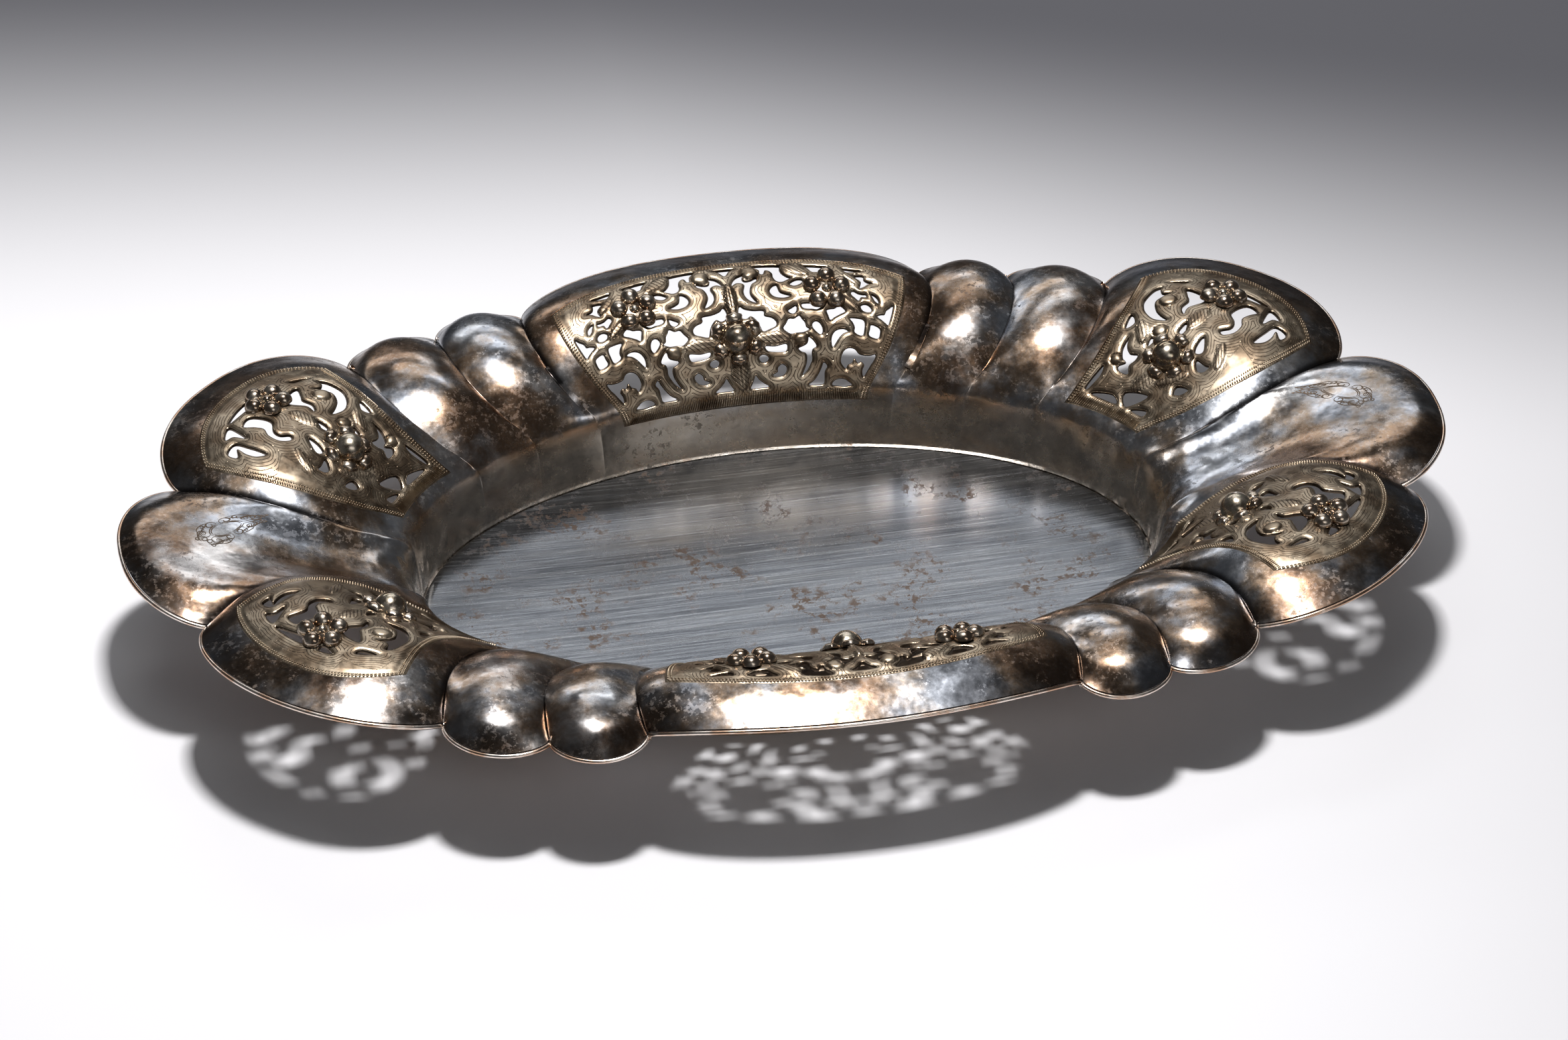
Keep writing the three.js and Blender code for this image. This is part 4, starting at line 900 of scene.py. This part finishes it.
def make_floor():
    """Plate that is very slightly dished towards its joint with the wall."""
    reach = np.concatenate([np.linspace(0.04, 0.96, 24), [0.975, 0.99, 1.0]])
    lift = DISHED * (np.clip(2 * reach - 1, 0, 1) ** 2 - DISH_SHIFT)
    lift[-1] -= EDGE_DROP
    sides = 256
    angle = 2 * math.pi * np.arange(sides) / sides
    a, b = WELL_A - GAP, WELL_B - GAP
    points = [(0, 0, FLOOR_TOP - DISH_SHIFT * DISHED)]
    for share, rise in zip(reach, lift):
        points += [(share * a * math.cos(q), share * b * math.sin(q), FLOOR_TOP + rise) for q in angle]
    points += [(a * math.cos(q), b * math.sin(q), 0.0) for q in angle]
    points.append((0, 0, 0))
    faces = ring_faces(sides, len(reach) + 1)
    last = len(points) - 1
    start = last - sides
    faces += [(last, start + (k + 1) % sides, start + k) for k in range(sides)]
    return new_object("floor", points, faces, sharp=35)


# ---- Materials

class Nodes:
    """Short way to build a material's node tree. Lengths in its textures are in millimetres.

    noise() takes a pattern's size, detail and roughness, and between() the two values of a smooth step.
    """

    def __init__(self, name):
        self.material = bpy.data.materials.new(name)
        self.material.use_nodes = True
        self.tree = self.material.node_tree
        self.shader = self.tree.nodes["Principled BSDF"]
        self.mm = self.vector("MULTIPLY", self.add("TexCoord").outputs["Object"],
                              (1 / MM, 1 / MM, 1 / MM))

    def add(self, kind, inputs=None, **settings):
        node = self.tree.nodes.new("ShaderNode" + kind)
        for key, value in settings.items():
            setattr(node, key, value)
        for key, value in (inputs or {}).items():
            self.feed(node.inputs[key], value)
        return node

    def feed(self, socket, value):
        if isinstance(value, bpy.types.NodeSocket):
            self.tree.links.new(value, socket)
        else:
            socket.default_value = value

    def math(self, operation, a, b=0.0, c=0.0):
        node = self.add("Math", {0: a, 1: b, 2: c}, operation=operation)
        return node.outputs[0]

    def times(self, a, b):
        return self.math("MULTIPLY", a, b)

    def scaled(self, value, factor, plus):
        return self.math("MULTIPLY_ADD", value, factor, plus)

    def larger(self, a, b):
        return self.math("MAXIMUM", a, b)

    def opposite(self, share):
        return self.math("SUBTRACT", 1.0, share)

    def vector(self, operation, a, b):
        return self.add("VectorMath", {0: a, 1: b}, operation=operation).outputs[0]

    def noise(self, size, detail=3.0, rough=0.5, where=None, stretch=(1, 1, 1)):
        place = self.vector("MULTIPLY", where or self.mm, tuple(s / size for s in stretch))
        node = self.add("TexNoise", {"Vector": place, "Scale": 1.0, "Detail": detail,
                                     "Roughness": rough})
        return node.outputs["Fac"]

    def between(self, value, low, high):
        node = self.add("MapRange", {"Value": value, "From Min": low, "From Max": high})
        node.interpolation_type = "SMOOTHSTEP"
        return node.outputs["Result"]

    def mix(self, share, a, b):
        node = self.add("Mix", data_type="RGBA")
        self.feed(node.inputs[0], share)
        self.feed(node.inputs[6], a)
        self.feed(node.inputs[7], b)
        return node.outputs[2]

    def attribute(self, name, output="Fac"):
        return self.add("Attribute", attribute_name=name).outputs[output]

    def bump(self, height, distance_mm, strength=1.0, under=None):
        inputs = {"Height": height, "Distance": distance_mm * MM, "Strength": strength}
        if under is not None:
            inputs["Normal"] = under
        return self.add("Bump", inputs).outputs["Normal"]

    def finish(self, colour, roughness, normal=None):
        self.feed(self.shader.inputs["Metallic"], 1.0)
        self.feed(self.shader.inputs["Base Color"], colour)
        self.feed(self.shader.inputs["Roughness"], roughness)
        if normal is not None:
            self.feed(self.shader.inputs["Normal"], normal)
        return self.material


# Colours: patina of the wall with painted shade and painted reflection, then brushed floor, openwork with
# painted shade at its cuts, flower heads with painted shade under their petals, edge, table with painted
# light falloff, and room
BRIGHT = (0.80, 0.80, 0.81, 1)
BROWN = (0.25, 0.155, 0.098, 1)
GOLDEN = (0.43, 0.345, 0.255, 1)
BLUISH = (0.40, 0.46, 0.56, 1)
CREAM_REFLECTION = (0.80, 0.69, 0.56, 1)
TARNISH_AND_SHADE = (0.024, 0.02, 0.02, 1)
ENGRAVED = (0.13, 0.095, 0.07, 1)
STEEL_DARK, STEEL_PALE = (0.18, 0.19, 0.215, 1), (0.34, 0.355, 0.38, 1)
HAZE = (0.40, 0.40, 0.40, 1)
RUSTY = (0.10, 0.06, 0.035, 1)
FRET_DARK, FRET_PALE = (0.20, 0.145, 0.097, 1), (0.40, 0.325, 0.24, 1)
GROOVE = (0.07, 0.048, 0.034, 1)
SAWN_EDGE_SHADE = (0.05, 0.035, 0.026, 1)
PETAL_DARK, PETAL_PALE = (0.36, 0.26, 0.185, 1), (0.60, 0.52, 0.43, 1)
GREENISH = (0.40, 0.40, 0.27, 1)
DISK_SHADE = (0.06, 0.042, 0.03, 1)
EDGE_WARM, EDGE_WORN = (0.55, 0.36, 0.25, 1), (0.84, 0.74, 0.66, 1)
TABLE_PALE, TABLE_SHADED = (0.86, 0.845, 0.865, 1), (0.40, 0.39, 0.405, 1)
TABLE_FAR_SHADE = (0.085, 0.084, 0.095, 1)
ROOM = (0.55, 0.57, 0.60, 1)


def wall_material():
    n = Nodes("wall_patina_and_painted_light")
    cloud = n.between(n.noise(34, 5, 0.52), 0.38, 0.62)
    blue = n.between(n.noise(34, 6, 0.62), 0.46, 0.60)
    worn = n.between(n.noise(26, 6, 0.62), 0.50, 0.68)
    grain = n.noise(0.8, 5, 0.75)
    base = n.mix(cloud, BROWN, GOLDEN)
    base = n.mix(n.times(blue, 0.7), base, BLUISH)
    base = n.mix(n.times(worn, 0.65), base, BRIGHT)
    base = n.mix(n.times(n.between(grain, 0.45, 0.8), 0.25), base, BRIGHT)
    # tarnish gathers in loose clouds of specks; the creases and the band near the rim are darker again,
    # partly tarnish and partly painted shade and painted dark reflection
    height = n.attribute("height")
    # painted dark reflection: the band near the rim is darkened where it mirrors the dark room, with some
    # tarnish there too
    cloudy = n.scaled(n.noise(16, 5, 0.65), 0.5, -0.25)
    rim = n.between(n.math("ADD", height, cloudy), 0.88, 0.98)
    clumps = n.between(n.noise(15, 4, 0.62), 0.48, 0.60)
    specks = n.between(n.noise(1.6, 5, 0.72), 0.53, 0.59)
    spots = n.times(clumps, specks)
    # painted shade: a dark line along the bottom of each crease, with tarnish in it too
    crease = n.opposite(n.between(n.attribute("crease"), 0.0, 0.03))
    tarnish_and_shade = n.larger(n.times(spots, 0.6), n.times(crease, 0.9))
    tarnish_and_shade = n.larger(tarnish_and_shade, n.times(rim, 0.6))
    # painted reflection: the foot of the wall is lightened towards cream where it mirrors the bright floor
    low_wall_reflection = n.times(n.opposite(n.between(height, 0.10, 0.24)), 0.85)
    base = n.mix(low_wall_reflection, base, CREAM_REFLECTION)
    colour = n.mix(tarnish_and_shade, base, TARNISH_AND_SHADE)
    rough = n.scaled(n.between(n.noise(6, 5, 0.7), 0.3, 0.7), 0.13, 0.16)
    rough = n.scaled(spots, 0.25, rough)
    # hammer marks at the ends of the well
    along = n.add("SeparateXYZ", {"Vector": n.mm}).outputs["X"]
    ends = n.between(n.math("ABSOLUTE", along), 74, 92)
    ends = n.times(ends, n.opposite(n.between(height, 0.2, 0.42)))
    place = n.vector("MULTIPLY", n.mm, (0.2, 0.2, 0.12))
    cells = n.add("TexVoronoi", {"Vector": place, "Scale": 1.0}, feature="SMOOTH_F1")
    uneven = n.bump(n.noise(13, 3, 0.5), 1.0, 0.4)
    hammered = n.bump(n.times(cells.outputs["Distance"], ends), 1.6, 0.8, uneven)
    fine = n.bump(n.noise(0.7, 3, 0.6), 0.02, 0.3, hammered)
    return n.finish(colour, rough, fine)


def engraved_material():
    return Nodes("engraved_line").finish(ENGRAVED, 0.4)


def floor_material():
    n = Nodes("floor_brushed")
    brush = n.noise(1.0, 4, 0.75, stretch=(0.03, 2.0, 1))
    wide = n.noise(1.0, 3, 0.6, stretch=(0.01, 0.4, 1))
    base = n.mix(n.between(brush, 0.32, 0.68), STEEL_DARK, STEEL_PALE)
    base = n.mix(n.times(n.between(wide, 0.4, 0.7), 0.3), base, HAZE)
    clumps = n.between(n.noise(22, 5, 0.68), 0.49, 0.60)
    specks = n.between(n.noise(2.6, 6, 0.78), 0.51, 0.56)
    spots = n.times(clumps, specks)
    colour = n.mix(n.times(spots, 0.85), base, RUSTY)
    rough = n.scaled(n.between(brush, 0.3, 0.7), 0.09, 0.19)
    rough = n.scaled(spots, 0.25, rough)
    waves = n.bump(n.noise(26, 2, 0.5), 0.5, 0.3)
    return n.finish(colour, rough, n.bump(brush, 0.04, 0.35, waves))


def openwork_material():
    n = Nodes("chased_openwork")
    edge = n.attribute("edge")
    leaf = n.attribute("leaf")
    ball = n.attribute("smooth")
    drawing = n.attribute("drawing", "Vector")
    plain = n.opposite(n.larger(leaf, ball))
    # engraved lines that follow the sawn edges, broken here and there
    wave = n.math("SINE", n.scaled(edge, 2 * math.pi / CONTOUR, -1.4))
    broken = n.between(n.noise(2.4, 2, 0.5, where=drawing), 0.38, 0.46)
    line = n.times(n.between(wave, 0.72, 0.97), n.times(plain, broken))
    across = n.add("TexWave", {"Vector": drawing, "Scale": 0.5, "Distortion": 1.2,
                               "Detail": 1.0, "Detail Scale": 0.4}, bands_direction="DIAGONAL")
    veins = n.between(across.outputs["Fac"], 0.74, 0.93)
    veins = n.times(veins, n.between(leaf, 0.1, 0.4))
    groove = n.larger(line, veins)
    cloud = n.between(n.noise(8, 4, 0.6), 0.38, 0.62)
    base = n.mix(cloud, FRET_DARK, FRET_PALE)
    colour = n.mix(n.times(groove, 0.85), base, GROOVE)
    # painted shade: the sawn faces, the underside and a thin band beside each cut are darkened
    near = n.opposite(n.between(edge, 0.04, 0.18))
    colour = n.mix(n.times(near, 0.75), colour, SAWN_EDGE_SHADE)
    rough = n.scaled(n.between(n.noise(2.2, 4, 0.6), 0.3, 0.7), 0.14, 0.28)
    relief = n.times(groove, -1.0)
    return n.finish(colour, rough, n.bump(relief, 0.12, 1.0))


def flower_material():
    n = Nodes("chased_petals")
    petal = n.attribute("petal")
    cloud = n.between(n.noise(3.0, 4, 0.6), 0.4, 0.62)
    base = n.mix(cloud, PETAL_DARK, PETAL_PALE)
    eye = n.opposite(n.between(petal, 0.0, 0.1))
    residue = n.times(eye, n.between(n.noise(0.9, 3, 0.6), 0.45, 0.6))
    colour = n.mix(n.times(residue, 0.35), base, GREENISH)
    # painted shade: the base disk of a blossom is darkened where it shows between and under its petals
    disk = n.times(n.between(petal, 0.35, 0.39), n.opposite(n.between(petal, 0.41, 0.5)))
    colour = n.mix(n.times(disk, 0.75), colour, DISK_SHADE)
    rough = n.scaled(cloud, 0.12, 0.16)
    return n.finish(colour, rough, n.bump(n.noise(1.2, 3, 0.6), 0.05, 0.3))


def wire_material():
    n = Nodes("worn_edge")
    worn = n.between(n.noise(9, 4, 0.6), 0.42, 0.6)
    colour = n.mix(worn, EDGE_WARM, EDGE_WORN)
    rough = n.scaled(n.noise(3, 3, 0.6), 0.2, 0.12)
    return n.finish(colour, rough, n.bump(n.noise(6, 2, 0.5), 0.1, 0.4))


# ---- Build

lobes = make_lobes()


def seat(obj, slot, material, *nodes):
    obj.data.materials.append(material)
    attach(obj, "root")
    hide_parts(*nodes)


wall, grid, low = make_wall()
seat(wall, "shell_silver", wall_material(), "rim_shell")
engraving = engraved_material()
for lobe in lobes:
    if lobe["name"] in CARTOUCHE:
        cartouche = new_object(f"cartouche_{lobe['name']}", *make_cartouche(lobe))
        cartouche.data.materials.append(engraving)
        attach(cartouche, "root")
seat(make_floor(), "floor_silver", floor_material(), "floor_plate")
seat(make_wire(grid, low), "edge_silver", wire_material(), "edge_wire")
fret, petals = openwork_material(), flower_material()
for lobe in lobes:
    if lobe["kind"] not in WINDOWS:
        continue
    seat(make_panel(lobe), "openwork_silver", fret, f"openwork_{lobe['name']}")
    flowers = SIDE_FLOWERS if lobe["kind"] == "side" else CORNER_FLOWERS
    for flower, x, y, rose in flowers:
        name = f"{flower}_{lobe['name']}"
        seat(make_flower(name, lobe, x, y, rose), "flower_silver", petals, name)


# ---- Studio

def table_material():
    n = Nodes("white_table")
    # painted light falloff: the table is painted darker away from the camera, which stands a little to the
    # left, and towards the right, where the lamp's light falls off
    place = n.add("SeparateXYZ", {"Vector": n.mm})
    right = n.larger(place.outputs["X"], 0.0)
    far = n.scaled(place.outputs["X"], 0.21, place.outputs["Y"])
    far = n.between(n.scaled(right, 0.2, far), 92, 315)
    right = n.times(n.between(right, 20, 300), 0.55)
    pale = n.mix(right, TABLE_PALE, TABLE_SHADED)
    n.feed(n.shader.inputs["Base Color"], n.mix(far, pale, TABLE_FAR_SHADE))
    n.feed(n.shader.inputs["Roughness"], 0.75)
    return n.material


TABLE_SIZE = 6.0
table_mesh = bpy.data.meshes.new("table")
half = TABLE_SIZE / 2
corners = [(half * x, half * y, 0) for x, y in ((-1, -1), (1, -1), (1, 1), (-1, 1))]
table_mesh.from_pydata(corners, [], [(0, 1, 2, 3)])
table = bpy.data.objects.new("table", table_mesh)
bpy.context.scene.collection.objects.link(table)
table.data.materials.append(table_material())

world = bpy.data.worlds.new("studio")
bpy.context.scene.world = world
world.use_nodes = True
background = world.node_tree.nodes["Background"]
background.inputs["Color"].default_value = ROOM
background.inputs["Strength"].default_value = 0.1


def set_axes(obj, right, up, back, place):
    """Puts an object in its place, looking against its back axis."""
    rows = [[*(float(axis[k]) for axis in (right, up, back)), float(place[k])] for k in range(3)]
    obj.matrix_world = Matrix(rows + [[0, 0, 0, 1]])


def area_light(name, place, size, power, colour=(1, 1, 1)):
    """Softbox that faces the middle of the dish. Metres and watts."""
    data = bpy.data.lights.new(name, "AREA")
    data.shape = "RECTANGLE"
    data.size, data.size_y = size
    data.energy = power
    data.color = colour
    obj = bpy.data.objects.new(name, data)
    bpy.context.scene.collection.objects.link(obj)
    aim = unit(-np.array(place, float))
    side = unit(np.cross(aim, [0, 1, 0.01]))
    set_axes(obj, side, np.cross(side, aim), -aim, place)


area_light("overhead", (0.0, 0.05, 1.0), (0.13, 0.1), 10.8)
area_light("ceiling", (0.0, 0.22, 1.6), (1.2, 0.5), 1.2, (0.94, 0.97, 1.0))
area_light("rear_softbox", (0.20, 0.88, 0.95), (0.8, 0.2), 1.3, (0.95, 0.975, 1.0))
area_light("rear_strip", (0.0, 1.22, 0.66), (0.95, 0.2), 1.5, (0.96, 0.98, 1.0))
area_light("front_fill", (0.35, -1.25, 0.95), (0.9, 0.4), 2.0)

# Camera at the photograph's place
AZIMUTH = math.radians(-11.907)
ELEVATION = math.radians(35.997)
ROLL = math.radians(0.4006)
DISTANCE = 1.5332
AIM_RIGHT, AIM_UP = 0.00151, 0.0069  # how far the view's middle lies from the axis
EYE_HEIGHT = 0.02975  # of the point on the dish's axis that the camera is set out from
LENS = 140.58  # mm on a frame 36 mm wide
back = np.array([math.sin(AZIMUTH) * math.cos(ELEVATION), -math.cos(AZIMUTH) * math.cos(ELEVATION),
                 math.sin(ELEVATION)])
right = unit(np.cross(-back, [0, 0, 1]))
upright = np.cross(right, -back)
right2 = math.cos(ROLL) * right + math.sin(ROLL) * upright
up2 = -math.sin(ROLL) * right + math.cos(ROLL) * upright
eye = back * DISTANCE - AIM_RIGHT * right2 - AIM_UP * up2 + np.array([0, 0, EYE_HEIGHT])
camera_data = bpy.data.cameras.new("camera")
camera_data.lens = LENS
camera_data.sensor_width = 36.0
camera_data.sensor_fit = "HORIZONTAL"
camera_data.clip_start = 0.05
camera = bpy.data.objects.new("camera", camera_data)
bpy.context.scene.collection.objects.link(camera)
set_axes(camera, right2, up2, back, eye)
bpy.context.scene.camera = camera
bpy.context.scene.view_settings.view_transform = "Standard"
